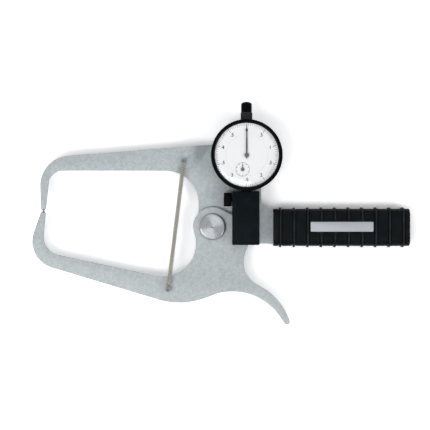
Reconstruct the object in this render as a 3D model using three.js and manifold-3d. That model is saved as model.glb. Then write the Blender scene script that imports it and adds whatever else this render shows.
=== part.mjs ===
// Outside dial caliper gauge: a fixed jaw frame, a swinging jaw with a finger lever,
// a tension spring that closes the jaws, a dial indicator in a housing and a ribbed grip.
// Millimetres, +Z up. The gauge lies on its back. The jaws reach along -X, the grip along +X.
import * as THREE from 'three';
import { mergeVertices } from 'three/addons/utils/BufferGeometryUtils.js';
import Module from 'manifold-3d';

const wasm = await Module();
wasm.setup();

// Shared clearances
const SEAT_GAP = 0.2;
const RUNNING_GAP = 0.06;
const OVERRUN = 1;
const MERGE_TOLERANCE = 0.0001;

// Facet counts
const ROUND_FACETS = 36;
const SMALL_FACETS = 16;
const TINY_FACETS = 8;
const ARC_STEP_DEGREES = 11;
const GRIP_ARC_STEP_DEGREES = 30;

// Plates and their layers
const PLATE = 4;
const LAYER_GAP = 0.4;
const GRIP_THICKNESS = 20;
const FRAME_BACK = (GRIP_THICKNESS - PLATE) / 2;
const FRAME_FRONT = FRAME_BACK + PLATE;
const JAW_BACK = FRAME_FRONT + LAYER_GAP;
const JAW_FRONT = JAW_BACK + PLATE;

// Jaw tips, measured from the pivot axis
const REACH = 135.1;
const CONTACT_LEVEL = 12.7;
const TIP_WIDTH = 3.7;
const TIP_ROUND = 0.4;
const CONTACT_RADIUS = 1;
const CONTACT_LENGTH = 1.2;
const CONTACT_GAP = 0.04;
const NOSE_SHARE = 0.25;

// Plunger axis, one fifth of the reach from the pivot
const PLUNGER_SHARE = 0.2;
const PLUNGER_X = REACH * PLUNGER_SHARE;

// Fixed jaw frame
const ARM_INNER_LEVEL = 44.9;
const ARM_OUTER_LEVEL = 55.1;
const LIMB_SPREAD = 2.9;
const LIMB_INNER_SPREAD = 5.3;
const LIMB_OUTER_RADIUS = 24;
const LIMB_INNER_RADIUS = 11;
const BODY_MARGIN = 12.18;
const BODY_RIGHT = PLUNGER_X + BODY_MARGIN;
const BODY_TOP = 68.9;
const BODY_CORNER_RADIUS = 12;
const NECK_LEFT = 8.5;
const NECK_RADIUS = 27;
const BOSS_RADIUS = 13.6;
const TANG_TOP = 12.7;
const TANG_FILLET = 9;
const TANG_CORE_WIDTH = 17;
const TANG_END_WALL = 12.9;
const JOGGLE_START = 38.4;
const JOGGLE_RUN = 9.6;
const JOGGLE_DEGREES = 145;

// Swinging jaw and finger lever
const EAR_RADIUS = 15.4;
const JAW_DEPTH = 63.7;
const HOOK_OUTER_RADIUS = 22.3;
const HOOK_INNER_RADIUS = 15;
const THROAT_LEAN_DEGREES = 18.5;
const BELLY_RADIUS = 58;
const LEVER_REACH = 62.4;
const LEVER_DROP = 78.7;
const LEVER_HOLLOW_RADIUS = 45;
const LEVER_BACK_RADIUS = 44.6;
const LEVER_ROOT_RADIUS = 20;
const LEVER_END_RADIUS = 2.1;
const LIFT_ARM_RADIUS = 5;
const LIFT_ARM_OVERHANG = 6.84;
const LIFT_ARM_RISE = 0.7;
const EAR_SLOPE = 2;
const HOOK_OUTER_SHARES = [1.1125, 0.4066];
const HOOK_INNER_SHARES = [1.008, 0.3077];
const BELLY_SHARE = 0.179;
const THROAT_SHARE = 0.7684;
const THROAT_ROUNDING_SHARE = 0.565;
const LEVER_SHARES = [[0.53, 0.536], [0.942, 1], [1, 0.976], [0.883, 0.733], [0.335, 0.4727]];

// Pivot
const PIVOT_RADIUS = 4;
const PIVOT_HEAD_RADIUS = 10.6;
const PIVOT_HEAD_HEIGHT = 3.5;
const PIVOT_HEAD_CHAMFER = 1.2;
const PIVOT_PLAY = 0.05;
const BUSH_RADIUS = 6;
const WASHER_RADIUS = 9.5;
const NUT_RADIUS = 6.6;
const NUT_HEIGHT = 4;
const STUD_END = 1.2;

// Plunger and the pin that lifts it
const STEM_HEIGHT = 9.5;
const STEM_Z = FRAME_FRONT + STEM_HEIGHT;
const LIFT_PIN_RADIUS = 2.5;
const PLUNGER_RADIUS = 2.4;
const PLUNGER_TRAVEL = 7;

// Indicator housing
const HOUSING_LEFT_MARGIN = 11.3;
const HOUSING_RIGHT_MARGIN = 10.15;
const HOUSING_BOTTOM = -14.3;
const HOUSING_TOP = 28.2;
const HOUSING_HEIGHT = 17;
const HOUSING_CORNER = 0.8;
const HOUSING_BEVEL = 0.6;
const HOUSING_WALL = 2.5;
const FOOT_LENGTH = 11;
const CAVITY_WIDTH = 11;
const CAVITY_BELOW = 6;
const CAVITY_FRONT_WALL = 3.4;
const STEM_BOTTOM = 12.2;
const STEM_RADIUS = 4;

// Screws
const SCREW_RADIUS = 1.5;
const SCREW_HEAD_RADIUS = 2.8;
const SCREW_HEAD_HEIGHT = 1.8;
const HOUSING_SCREW_SPREAD = 7.6;
const HOUSING_SCREW_DEPTH = 5;

// Clamp screw on the left of the housing
const CLAMP_LEVEL = 21.6;
const CLAMP_HEAD_RADIUS = 5.35;
const CLAMP_HEAD_LENGTH = 6.4;
const CLAMP_HEAD_CHAMFER = 0.6;
const CLAMP_SHANK_RADIUS = 2;
const CLAMP_STANDOFF = 0.3;
const KNURL_DEPTH = 0.3;
const CLAMP_FLUTES = 24;

// Dial indicator case
const CASE_RADIUS = 25.2;
const STEM_SHOWING = 3.2;
const CASE_WALL = 1.6;
const CASE_BACK_THICKNESS = 1.1;
const CASE_STANDOFF = 0.3;
const CASE_SCREW_RADIUS = 0.9;
const CASE_SCREW_HEAD_RADIUS = 1.7;
const CASE_SCREW_HEAD_HEIGHT = 0.6;
const CASE_SCREW_LENGTH = 3.2;
const CASE_SCREW_DEGREES = [45, 135, 225, 315];
const CASE_POST_RADIUS = 2.2;
const MOVEMENT_PLATE = 1;

// Gear train: a rack on the plunger, a counter arbor and the centre arbor
const RACK_PITCH = 0.625;
const RACK_OFFSET = 1.6;
const PINION_TEETH = 16;
const WHEEL_TEETH = 100;
const CENTRE_TEETH = 10;
const GEAR_SPACING_SHARE = 0.4643;
const GEAR_SPACING = CASE_RADIUS * GEAR_SPACING_SHARE;
const RACK_MARGIN_TEETH = 3;
const ROOT_SHARE = 0.46;
const TIP_SHARE = 0.2;
const ADDENDUM_SHARE = 0.18;
const DEDENDUM_SHARE = 0.32;
const PINION_HEIGHT = 2.6;
const GEAR_THICKNESS = 0.6;
const GEAR_CLEARANCE = 0.25;
const ARBOR_RADIUS = 0.5;
const ARBOR_HOLE_GAP = 0.2;
const ARBOR_BOSS_RADIUS = 1.5;
const ARBOR_BOSS_HEIGHT = 3;

// Dial, hands, bezel and crystal
const DIAL_THICKNESS = 0.5;
const DIAL_MARGIN = 0.6;
const DIAL_RADIUS = CASE_RADIUS - DIAL_MARGIN;
const DIAL_SPLIT_SHARE = 0.6707;
const DIAL_SPLIT_RADIUS = DIAL_RADIUS * DIAL_SPLIT_SHARE;
const DIAL_FLOAT = 0.2;
const HAND_SHARE = 0.951;
const HAND_LENGTH = DIAL_RADIUS * HAND_SHARE;
const HAND_TAIL = 4;
const HAND_WIDTH = 0.9;
const HAND_TIP_SHARE = 0.4;
const BLADE_HEIGHT_SHARE = 0.33;
const HAND_THICKNESS = 0.25;
const HAND_HUB_RADIUS = 1.85;
const HAND_HUB_HEIGHT = 0.7;
const HAND_CLEARANCE = 0.3;
const COUNTER_HAND_SHARE = 0.175;
const COUNTER_HAND_LENGTH = DIAL_RADIUS * COUNTER_HAND_SHARE;
const COUNTER_HAND_TAIL = 1.5;
const COUNTER_HUB_RADIUS = 1.5;
const COUNTER_HUB_HEIGHT = 0.6;
const BEZEL_OVERHANG = 3;
const BEZEL_RADIUS = CASE_RADIUS + BEZEL_OVERHANG;
const BEZEL_SKIRT = 2;
const BEZEL_GAP = 0.15;
const BEZEL_DEPTH = 5.5;
const BEZEL_BEVEL = 1.2;
const BEZEL_LIP = 0.7;
const CRYSTAL_THICKNESS = 1;
const CRYSTAL_DOME = 0.5;
const CRYSTAL_DOME_SHARE = 0.75;
const CRYSTAL_HEIGHT = 3;

// Collar and cap above the indicator
const COLLAR_RADIUS = 4.7;
const COLLAR_SHOWING = 6.15;
const COLLAR_NECK_RADIUS = 3.4;
const COLLAR_FLUTES = 24;
const CAP_RADIUS = 4.3;
const CAP_LENGTH = 8.3;
const CAP_DOME = 1.2;
const CAP_SHOULDER_SHARE = 0.7;
const CAP_GAP = 0.1;
const PLUNGER_POINT_RADIUS = 2;
const PLUNGER_POINT_LENGTH = 3.5;
const PLUNGER_POINT_TIP = 0.8;

// Tension spring and its two posts
const UPPER_POST_X = -22.8;
const UPPER_POST_Y = 52.4;
const LOWER_POST_X = -35.2;
const LOWER_POST_Y = -49.8;
const SPRING_HEIGHT = 3.6;
const SPRING_RADIUS = 1.95;
const SPRING_WIRE_RADIUS = 0.38;
const SPRING_PITCH = 1.35;
const SPRING_LEAD = 3.4;
const CURL_STEPS = 8;
const WIRE_SIDES = 5;
const HOOK_STEPS = 9;
const HOOK_SWEEP_DEGREES = 285;
const POST_RADIUS = 1.2;
const POST_HEAD_RADIUS = 2;
const POST_HEAD_HEIGHT = 1;
const POST_BASE_RADIUS = 2.4;
const POST_BASE_HEIGHT = 2;
const POST_HEAD_CLEARANCE = 0.9;

// Grip
const GRIP_STANDOFF = 9.46;
const GRIP_LEFT = BODY_RIGHT + GRIP_STANDOFF;
const GRIP_LENGTH = 108.9;
const GRIP_WIDTH = 32;
const GRIP_CORNER = 7;
const GRIP_END_BEVEL = 0.8;
const RIB_COUNT = 10;
const RIB_INSET = 5.58;
const RIB_END_INSET = 5.35;
const RIB_WIDTH = 1.6;
const RIB_HEIGHT = 1;
const RIB_BEVEL = 0.4;
const PANEL_FIRST_RIB = 2;
const PANEL_LAST_RIB = 7;
const PANEL_WIDTH = 12.5;
const PANEL_RIDGE = 0.9;
const PANEL_RIDGE_HEIGHT = 0.6;
const GRIP_SCREW_SPACES = [0, 4, 8];
const GRIP_SCREW_LENGTH = 13;

// Label plate on the grip
const LABEL_MARGIN = 4.43;
const LABEL_WIDTH = 7.8;
const LABEL_RISE = 0.5;
const LABEL_THICKNESS = 0.5;
const LABEL_RECESS = 0.4;

// Places worked out from the sizes above
const AXIS_UP = new THREE.Vector3(0, 0, 1);
const GRIP_LEVEL = (TANG_TOP - BOSS_RADIUS) / 2;
const BODY_SKIN = GRIP_THICKNESS - RIB_HEIGHT;
const TANG_SHOULDER = GRIP_LEFT + RIB_INSET;
const TANG_CORE_LENGTH = GRIP_LENGTH - TANG_END_WALL;
const RIB_SPACING = (GRIP_LENGTH - RIB_INSET - RIB_END_INSET) / (RIB_COUNT - 1);
const LABEL_LENGTH = (PANEL_LAST_RIB - PANEL_FIRST_RIB) * RIB_SPACING - LABEL_MARGIN;
const HOUSING_LEFT = PLUNGER_X - HOUSING_LEFT_MARGIN;
const HOUSING_RIGHT = PLUNGER_X + HOUSING_RIGHT_MARGIN;
const HOUSING_FRONT = FRAME_FRONT + HOUSING_HEIGHT;
const HOUSING_UNDERSIDE = JAW_FRONT + LAYER_GAP;
const FOOT_BOTTOM = HOUSING_TOP - FOOT_LENGTH;
const DIAL_LEVEL = HOUSING_TOP + STEM_SHOWING + CASE_RADIUS;
const CASE_BACK = FRAME_FRONT + CASE_STANDOFF;
const CASE_FLOOR = CASE_BACK + CASE_BACK_THICKNESS;
const GEAR_BACK = STEM_Z + PLUNGER_RADIUS + GEAR_CLEARANCE;
const GEAR_FRONT = GEAR_BACK + GEAR_THICKNESS;
const BEZEL_BACK = STEM_Z + COLLAR_RADIUS + BEZEL_GAP;
const CASE_FRONT = BEZEL_BACK + BEZEL_SKIRT;
const MOVEMENT_BACK = CASE_FRONT - MOVEMENT_PLATE;
const DIAL_FRONT = CASE_FRONT + DIAL_FLOAT + DIAL_THICKNESS;
const COUNTER_HAND_BACK = DIAL_FRONT + HAND_CLEARANCE;
const HAND_BACK = COUNTER_HAND_BACK + COUNTER_HUB_HEIGHT + HAND_CLEARANCE;
const CRYSTAL_BACK = CASE_FRONT + CRYSTAL_HEIGHT;
const BEZEL_FRONT = CASE_FRONT + BEZEL_DEPTH;
const PINION_RADIUS = (RACK_PITCH * PINION_TEETH) / (2 * Math.PI);
const WHEEL_RADIUS = (GEAR_SPACING * WHEEL_TEETH) / (WHEEL_TEETH + CENTRE_TEETH);
const CENTRE_PINION_RADIUS = GEAR_SPACING - WHEEL_RADIUS;
const COUNTER_DX = -(RACK_OFFSET + PINION_RADIUS);
const COUNTER_DY = -Math.sqrt(GEAR_SPACING ** 2 - COUNTER_DX ** 2);
const COLLAR_BOTTOM = DIAL_LEVEL + CASE_RADIUS;
const COLLAR_TOP = DIAL_LEVEL + BEZEL_RADIUS + COLLAR_SHOWING;
const SPRING_Z = JAW_FRONT + SPRING_HEIGHT;

// Colours with roughness and metalness
const FINISHES = {
  paintedFrame: { color: 0xbac2c4, roughness: 0.5, metalness: 0.35 },
  paintedJaw: { color: 0xc3c8ca, roughness: 0.5, metalness: 0.35 },
  steel: { color: 0xb9bcbd, roughness: 0.3, metalness: 0.9 },
  carbide: { color: 0x55585a, roughness: 0.35, metalness: 0.8 },
  spring: { color: 0xa5a396, roughness: 0.35, metalness: 0.85 },
  blackMetal: { color: 0x181e20, roughness: 0.45, metalness: 0.3 },
  bezelBlack: { color: 0x0c0e10, roughness: 0.3, metalness: 0.3 },
  gripBlack: { color: 0x20282c, roughness: 0.55, metalness: 0 },
  label: { color: 0xb9bcc3, roughness: 0.4, metalness: 0.7 },
  brass: { color: 0x8a8258, roughness: 0.4, metalness: 0.8 },
  dial: { color: 0xf0f2f4, roughness: 0.6, metalness: 0 },
  hand: { color: 0x1a1c1e, roughness: 0.5, metalness: 0.2 },
  crystal: { color: 0xe8eef0, roughness: 0.05, metalness: 0, transparent: true, opacity: 0.25 },
};

// Turns a closed geometry into a solid with its faces pointing out
function solidOf(geometry) {
  const bare = geometry.index ? geometry : geometry.clone();
  bare.deleteAttribute('normal');
  bare.deleteAttribute('uv');
  const merged = mergeVertices(bare, MERGE_TOLERANCE);
  const places = merged.attributes.position.array;
  const corners = [];
  for (let i = 0; i < merged.index.count; i += 3) {
    const [a, b, c] = merged.index.array.slice(i, i + 3);
    if (a !== b && b !== c && c !== a) corners.push(a, b, c);
  }
  if (signedVolume(places, corners) < 0) corners.reverse();
  return new wasm.Manifold(new wasm.Mesh({
    numProp: 3,
    vertProperties: new Float32Array(places),
    triVerts: new Uint32Array(corners),
  }));
}

function signedVolume(places, corners) {
  const [p, q, r] = [new THREE.Vector3(), new THREE.Vector3(), new THREE.Vector3()];
  let sum = 0;
  for (let i = 0; i < corners.length; i += 3) {
    p.fromArray(places, 3 * corners[i]);
    q.fromArray(places, 3 * corners[i + 1]);
    r.fromArray(places, 3 * corners[i + 2]);
    sum += p.dot(q.cross(r)) / 6;
  }
  return sum;
}

function geometryOf(solid) {
  const mesh = solid.getMesh();
  const geometry = new THREE.BufferGeometry();
  geometry.setAttribute('position', new THREE.BufferAttribute(new Float32Array(mesh.vertProperties), 3));
  geometry.setIndex(new THREE.BufferAttribute(new Uint32Array(mesh.triVerts), 1));
  geometry.computeVertexNormals();
  return geometry;
}

// Joins and cuts
function join(...solids) {
  return solids.reduce((whole, piece) => whole.add(piece));
}

function cut(solid, ...tools) {
  return tools.reduce((whole, tool) => whole.subtract(tool), solid);
}

// A flat outline pulled from one height to another
function slab(points, back, front) {
  const shape = new THREE.Shape(points.map(([x, y]) => new THREE.Vector2(x, y)));
  const geometry = new THREE.ExtrudeGeometry(shape, { depth: front - back, bevelEnabled: false });
  return solidOf(geometry.translate(0, 0, back));
}

// The same with both ends chamfered
function chamferedSlab(points, back, front, chamfer) {
  const shape = new THREE.Shape(points.map(([x, y]) => new THREE.Vector2(x, y)));
  const geometry = new THREE.ExtrudeGeometry(shape, {
    depth: front - back - 2 * chamfer,
    bevelSize: chamfer,
    bevelThickness: chamfer,
    bevelOffset: -chamfer,
    bevelSegments: 1,
  });
  return solidOf(geometry.translate(0, 0, back + chamfer));
}

function block(left, right, bottom, top, back, front) {
  return slab([[left, bottom], [right, bottom], [right, top], [left, top]], back, front);
}

// A profile of [radius, height] points turned about the Z axis
function turned(profile, facets = ROUND_FACETS) {
  const points = profile.map(([radius, height]) => new THREE.Vector2(radius, height));
  return solidOf(new THREE.LatheGeometry(points, facets).rotateX(Math.PI / 2));
}

function rod(radius, back, front, facets = ROUND_FACETS) {
  return turned([[0, back], [radius, back], [radius, front], [0, front]], facets);
}

function ring(inner, outer, back, front, facets = ROUND_FACETS) {
  return turned([[inner, back], [outer, back], [outer, front], [inner, front], [inner, back]], facets);
}

// Solids made about Z, laid along Y or X
function alongY(solid) {
  return solid.rotate([-90, 0, 0]);
}

function alongX(solid) {
  return solid.rotate([0, 90, 0]);
}

function moved(solid, x, y, z = 0) {
  return solid.translate([x, y, z]);
}

// A polygon of [x, y, radius] corners with each corner rounded by an arc
function roundedOutline(corners, stepDegrees = ARC_STEP_DEGREES) {
  const outline = [];
  corners.forEach(([x, y, radius], i) => {
    const corner = new THREE.Vector2(x, y);
    const before = new THREE.Vector2(...corners.at(i - 1)).sub(corner).normalize();
    const after = new THREE.Vector2(...corners[(i + 1) % corners.length]).sub(corner).normalize();
    outline.push(...cornerArc(corner, before, after, radius, stepDegrees));
  });
  return outline;
}

function cornerArc(corner, before, after, radius, stepDegrees) {
  const half = Math.acos(before.dot(after)) / 2;
  const bisector = before.clone().add(after).normalize();
  const centre = corner.clone().addScaledVector(bisector, radius / Math.sin(half));
  const start = corner.clone().addScaledVector(before, radius / Math.tan(half)).sub(centre);
  const turn = Math.sign(after.cross(before)) * (Math.PI - 2 * half);
  const steps = Math.max(2, Math.ceil(THREE.MathUtils.radToDeg(Math.abs(turn)) / stepDegrees));
  const arc = [];
  for (let step = 0; step <= steps; step += 1) {
    const spoke = start.clone().rotateAround(new THREE.Vector2(), (turn * step) / steps);
    arc.push([centre.x + spoke.x, centre.y + spoke.y]);
  }
  return arc;
}

// A round outline with straight flutes, for a knurled head
function flutedOutline(radius, depth, flutes) {
  const outline = [];
  for (let i = 0; i < 2 * flutes; i += 1) {
    const angle = (i * Math.PI) / flutes;
    const reach = radius - (i % 2) * depth;
    outline.push([reach * Math.cos(angle), reach * Math.sin(angle)]);
  }
  return outline;
}

// A fluted head about Z with both ends chamfered
function knurledHead(radius, back, front, chamfer, flutes) {
  const fluted = slab(flutedOutline(radius, KNURL_DEPTH, flutes), back, front);
  const blank = turned([[0, back], [radius - chamfer, back], [radius, back + chamfer],
    [radius, front - chamfer], [radius - chamfer, front], [0, front]]);
  return fluted.intersect(blank);
}

// A toothed wheel about Z, with one tooth centred on the angle given and teeth flat or pointed
function gearOutline(pitchRadius, teeth, toothAngle, pointed = false) {
  const pitch = (2 * Math.PI * pitchRadius) / teeth;
  const tip = pitchRadius + ADDENDUM_SHARE * pitch;
  const root = pitchRadius - DEDENDUM_SHARE * pitch;
  const rootHalf = (Math.PI * ROOT_SHARE) / teeth;
  const tipHalf = (Math.PI * TIP_SHARE) / teeth;
  const flatTooth = [[root, -rootHalf], [tip, -tipHalf], [tip, tipHalf], [root, rootHalf]];
  const pointedTooth = [[root, -Math.PI / teeth], [tip, 0]];
  const outline = [];
  for (let tooth = 0; tooth < teeth; tooth += 1) {
    const middle = toothAngle + (2 * Math.PI * tooth) / teeth;
    for (const [radius, offset] of pointed ? pointedTooth : flatTooth) {
      outline.push([radius * Math.cos(middle + offset), radius * Math.sin(middle + offset)]);
    }
  }
  return outline;
}

// A screw about Z with its head at the back
function screw(radius, headRadius, headBack, headHeight, end) {
  const shoulder = headBack + headHeight;
  return turned([[0, headBack], [headRadius, headBack], [headRadius, shoulder],
    [radius, shoulder], [radius, end], [0, end]], TINY_FACETS);
}

// Fixed jaw frame, its body and tang in the back layer and its arm joggled to the front layer
function frameOutline() {
  const tangBottom = -BOSS_RADIUS;
  const coreTop = GRIP_LEVEL + TANG_CORE_WIDTH / 2;
  const coreBottom = GRIP_LEVEL - TANG_CORE_WIDTH / 2;
  const coreEnd = GRIP_LEFT + TANG_CORE_LENGTH;
  const tipEnd = CONTACT_LEVEL + CONTACT_LENGTH;
  return roundedOutline([
    [-REACH - TIP_WIDTH / 2, tipEnd, TIP_ROUND],
    [-REACH - LIMB_SPREAD, ARM_OUTER_LEVEL, LIMB_OUTER_RADIUS],
    [BODY_RIGHT, BODY_TOP, BODY_CORNER_RADIUS],
    [BODY_RIGHT, TANG_TOP, TANG_FILLET],
    [TANG_SHOULDER, TANG_TOP, TIP_ROUND],
    [TANG_SHOULDER, coreTop, TIP_ROUND],
    [coreEnd, coreTop, TIP_ROUND],
    [coreEnd, coreBottom, TIP_ROUND],
    [TANG_SHOULDER, coreBottom, TIP_ROUND],
    [TANG_SHOULDER, tangBottom, TIP_ROUND],
    [-BOSS_RADIUS, tangBottom, BOSS_RADIUS],
    [-NECK_LEFT, ARM_INNER_LEVEL, NECK_RADIUS],
    [LIMB_INNER_SPREAD - REACH, ARM_INNER_LEVEL, LIMB_INNER_RADIUS],
    [-REACH + TIP_WIDTH / 2, tipEnd, TIP_ROUND],
  ]);
}

// Side view of the joggled plate: distance from the pivot against height
function joggleSlab() {
  const far = REACH + LEVER_REACH + GRIP_LENGTH + GRIP_LEFT;
  const end = JOGGLE_START + JOGGLE_RUN;
  const side = [[-far, FRAME_BACK], [JOGGLE_START, FRAME_BACK], [end, JAW_BACK], [far, JAW_BACK],
    [far, JAW_FRONT], [end, JAW_FRONT], [JOGGLE_START, FRAME_FRONT], [-far, FRAME_FRONT]];
  return slab(side, -far, far).rotate([90, 0, 0]).rotate([0, 0, JOGGLE_DEGREES]);
}

function framePlate() {
  const plate = slab(frameOutline(), FRAME_BACK, JAW_FRONT).intersect(joggleSlab());
  const hole = (radius, x, y, facets) => moved(rod(radius, 0, JAW_FRONT + OVERRUN, facets), x, y);
  const screwHoles = [...housingScrewPlaces(), ...gripScrewPlaces()]
    .map(([x, y]) => hole(SCREW_RADIUS + SEAT_GAP, x, y, TINY_FACETS));
  return cut(plate,
    hole(PIVOT_RADIUS + SEAT_GAP, 0, 0, ROUND_FACETS),
    hole(POST_RADIUS + SEAT_GAP, UPPER_POST_X, UPPER_POST_Y, TINY_FACETS),
    ...screwHoles);
}

// Swinging jaw with its ear about the pivot, the lift arm and the finger lever
// Corner whose rounding by EAR_RADIUS is centred on the pivot, between sides that face the two angles
function earCorner(topFacing, throatFacing) {
  const away = EAR_RADIUS / Math.cos((throatFacing - topFacing) / 2);
  const middle = (topFacing + throatFacing) / 2;
  return [away * Math.cos(middle), away * Math.sin(middle)];
}

function jawOutline() {
  const lean = THREE.MathUtils.degToRad(THROAT_LEAN_DEGREES);
  const throatDrop = JAW_DEPTH * THROAT_SHARE;
  const throatRun = (throatDrop - EAR_RADIUS * Math.sin(lean)) / Math.cos(lean);
  const throatX = (throatDrop * Math.sin(lean) - EAR_RADIUS) / Math.cos(lean);
  const tipEnd = CONTACT_LEVEL - CONTACT_LENGTH;
  const jawPoint = ([x, y]) => [-x * REACH, -y * JAW_DEPTH];
  const lever = LEVER_SHARES.map(([x, y]) => [x * LEVER_REACH, -y * LEVER_DROP]);
  return roundedOutline([
    [-REACH - TIP_WIDTH / 2, tipEnd, TIP_ROUND],
    [...jawPoint(HOOK_OUTER_SHARES), HOOK_OUTER_RADIUS],
    [-REACH * BELLY_SHARE, -JAW_DEPTH, BELLY_RADIUS],
    [...lever[0], LEVER_HOLLOW_RADIUS],
    [...lever[1], LEVER_END_RADIUS],
    [...lever[2], LEVER_END_RADIUS],
    [...lever[3], LEVER_BACK_RADIUS],
    [...lever[4], LEVER_ROOT_RADIUS],
    [PLUNGER_X + LIFT_ARM_OVERHANG, LIFT_ARM_RISE, LIFT_ARM_RADIUS],
    [...earCorner(Math.atan(EAR_SLOPE), Math.PI + lean), EAR_RADIUS],
    [throatX, -throatDrop, throatRun * THROAT_ROUNDING_SHARE],
    [...jawPoint(HOOK_INNER_SHARES), HOOK_INNER_RADIUS],
    [-REACH + TIP_WIDTH / 2, tipEnd, TIP_ROUND],
  ]);
}

function lowerJaw() {
  const hole = (radius, x, y, facets) => moved(rod(radius, 0, JAW_FRONT + OVERRUN, facets), x, y);
  return cut(slab(jawOutline(), JAW_BACK, JAW_FRONT),
    hole(BUSH_RADIUS + SEAT_GAP, 0, 0, ROUND_FACETS),
    hole(LIFT_PIN_RADIUS + SEAT_GAP, PLUNGER_X, 0, SMALL_FACETS),
    hole(POST_RADIUS + SEAT_GAP, LOWER_POST_X, LOWER_POST_Y, TINY_FACETS));
}

// Hard contact with a domed nose, turned about Z and pointing up
function contact() {
  const seat = CONTACT_LENGTH - CONTACT_GAP / 2;
  const nose = CONTACT_RADIUS / 2;
  return turned([[0, 0], [CONTACT_RADIUS, 0], [CONTACT_RADIUS, seat - nose],
    [nose, seat - nose * NOSE_SHARE], [0, seat]], SMALL_FACETS);
}

function upperContact() {
  const down = contact().rotate([90, 0, 0]);
  return moved(down, -REACH, CONTACT_LEVEL + CONTACT_LENGTH, (JAW_BACK + JAW_FRONT) / 2);
}

function lowerContact() {
  const up = alongY(contact());
  return moved(up, -REACH, CONTACT_LEVEL - CONTACT_LENGTH, (JAW_BACK + JAW_FRONT) / 2);
}

// Pivot stud with its wide turned head, its washer, bush and nut
function pivotStud() {
  const headBack = JAW_FRONT + 2 * PIVOT_PLAY;
  const headFront = headBack + PIVOT_HEAD_HEIGHT;
  return turned([[0, STUD_END], [PIVOT_RADIUS, STUD_END], [PIVOT_RADIUS, headBack],
    [PIVOT_HEAD_RADIUS, headBack], [PIVOT_HEAD_RADIUS, headFront - PIVOT_HEAD_CHAMFER],
    [PIVOT_HEAD_RADIUS - PIVOT_HEAD_CHAMFER, headFront], [0, headFront]]);
}

function pivotBush() {
  return ring(PIVOT_RADIUS + RUNNING_GAP, BUSH_RADIUS, JAW_BACK, JAW_FRONT + PIVOT_PLAY);
}

function pivotWasher() {
  return ring(PIVOT_RADIUS + SEAT_GAP, WASHER_RADIUS, FRAME_FRONT, JAW_BACK - PIVOT_PLAY);
}

function pivotNut() {
  const back = FRAME_BACK - NUT_HEIGHT;
  const hexagon = turned([[0, back], [NUT_RADIUS, back], [NUT_RADIUS, FRAME_BACK], [0, FRAME_BACK]], 6);
  return cut(hexagon, rod(PIVOT_RADIUS + SEAT_GAP, 0, FRAME_FRONT, SMALL_FACETS));
}

// Lift pin standing in the swinging jaw under the plunger
function liftPin() {
  return moved(rod(LIFT_PIN_RADIUS, JAW_BACK, STEM_Z + PLUNGER_RADIUS, SMALL_FACETS), PLUNGER_X, 0);
}

function housingScrewPlaces() {
  const level = FOOT_BOTTOM + FOOT_LENGTH / 2;
  return [-1, 1].map((side) => [PLUNGER_X + side * HOUSING_SCREW_SPREAD, level]);
}

// Housing that carries the indicator's stem over the swinging jaw
function indicatorHousing() {
  return cut(housingBody(), housingPassage(), plungerSpace(), ...housingBores());
}

function housingBody() {
  const [left, right] = [HOUSING_LEFT, HOUSING_RIGHT];
  const [bottom, top] = [HOUSING_BOTTOM, HOUSING_TOP];
  const outline = roundedOutline([[left, bottom, HOUSING_CORNER], [right, bottom, HOUSING_CORNER],
    [right, top, HOUSING_CORNER], [left, top, HOUSING_CORNER]]);
  const body = chamferedSlab(outline, FRAME_FRONT - HOUSING_BEVEL, HOUSING_FRONT, HOUSING_BEVEL);
  const below = block(left - OVERRUN, right + OVERRUN, bottom - OVERRUN, top + OVERRUN, 0, FRAME_FRONT);
  return cut(body, below);
}

// Open space under the housing, through which the swinging jaw passes
function housingPassage() {
  return block(HOUSING_LEFT - OVERRUN, HOUSING_RIGHT - HOUSING_WALL, HOUSING_BOTTOM - OVERRUN, FOOT_BOTTOM,
    0, HOUSING_UNDERSIDE);
}

function plungerSpace() {
  return block(PLUNGER_X - CAVITY_WIDTH / 2, PLUNGER_X + CAVITY_WIDTH / 2, -CAVITY_BELOW, STEM_BOTTOM,
    0, HOUSING_FRONT - CAVITY_FRONT_WALL);
}

function housingBores() {
  const stemBore = moved(alongY(rod(STEM_RADIUS + SEAT_GAP, 0, HOUSING_TOP, SMALL_FACETS)),
    PLUNGER_X, STEM_BOTTOM - OVERRUN, STEM_Z);
  const clampDepth = PLUNGER_X - HOUSING_LEFT + OVERRUN;
  const clampBore = moved(alongX(rod(CLAMP_SHANK_RADIUS + SEAT_GAP, 0, clampDepth, TINY_FACETS)),
    HOUSING_LEFT - OVERRUN, CLAMP_LEVEL, STEM_Z);
  const screwEnd = FRAME_FRONT + HOUSING_SCREW_DEPTH + SEAT_GAP;
  const screwHoles = housingScrewPlaces().map(([x, y]) => moved(
    rod(SCREW_RADIUS + SEAT_GAP, 0, screwEnd, TINY_FACETS), x, y));
  return [stemBore, clampBore, ...screwHoles];
}

function housingScrew(place) {
  const made = screw(SCREW_RADIUS, SCREW_HEAD_RADIUS, FRAME_BACK - SCREW_HEAD_HEIGHT, SCREW_HEAD_HEIGHT,
    FRAME_FRONT + HOUSING_SCREW_DEPTH);
  return moved(made, ...place);
}

// Knurled clamp screw, made about Z and laid along X
function clampScrew() {
  const head = knurledHead(CLAMP_HEAD_RADIUS, 0, CLAMP_HEAD_LENGTH, CLAMP_HEAD_CHAMFER, CLAMP_FLUTES);
  const shankEnd = PLUNGER_X - STEM_RADIUS - SEAT_GAP - HOUSING_LEFT + CLAMP_HEAD_LENGTH + CLAMP_STANDOFF;
  const shank = rod(CLAMP_SHANK_RADIUS, CLAMP_HEAD_LENGTH / 2, shankEnd, TINY_FACETS);
  const left = HOUSING_LEFT - CLAMP_STANDOFF - CLAMP_HEAD_LENGTH;
  return moved(alongX(join(head, shank)), left, CLAMP_LEVEL, STEM_Z);
}

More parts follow.
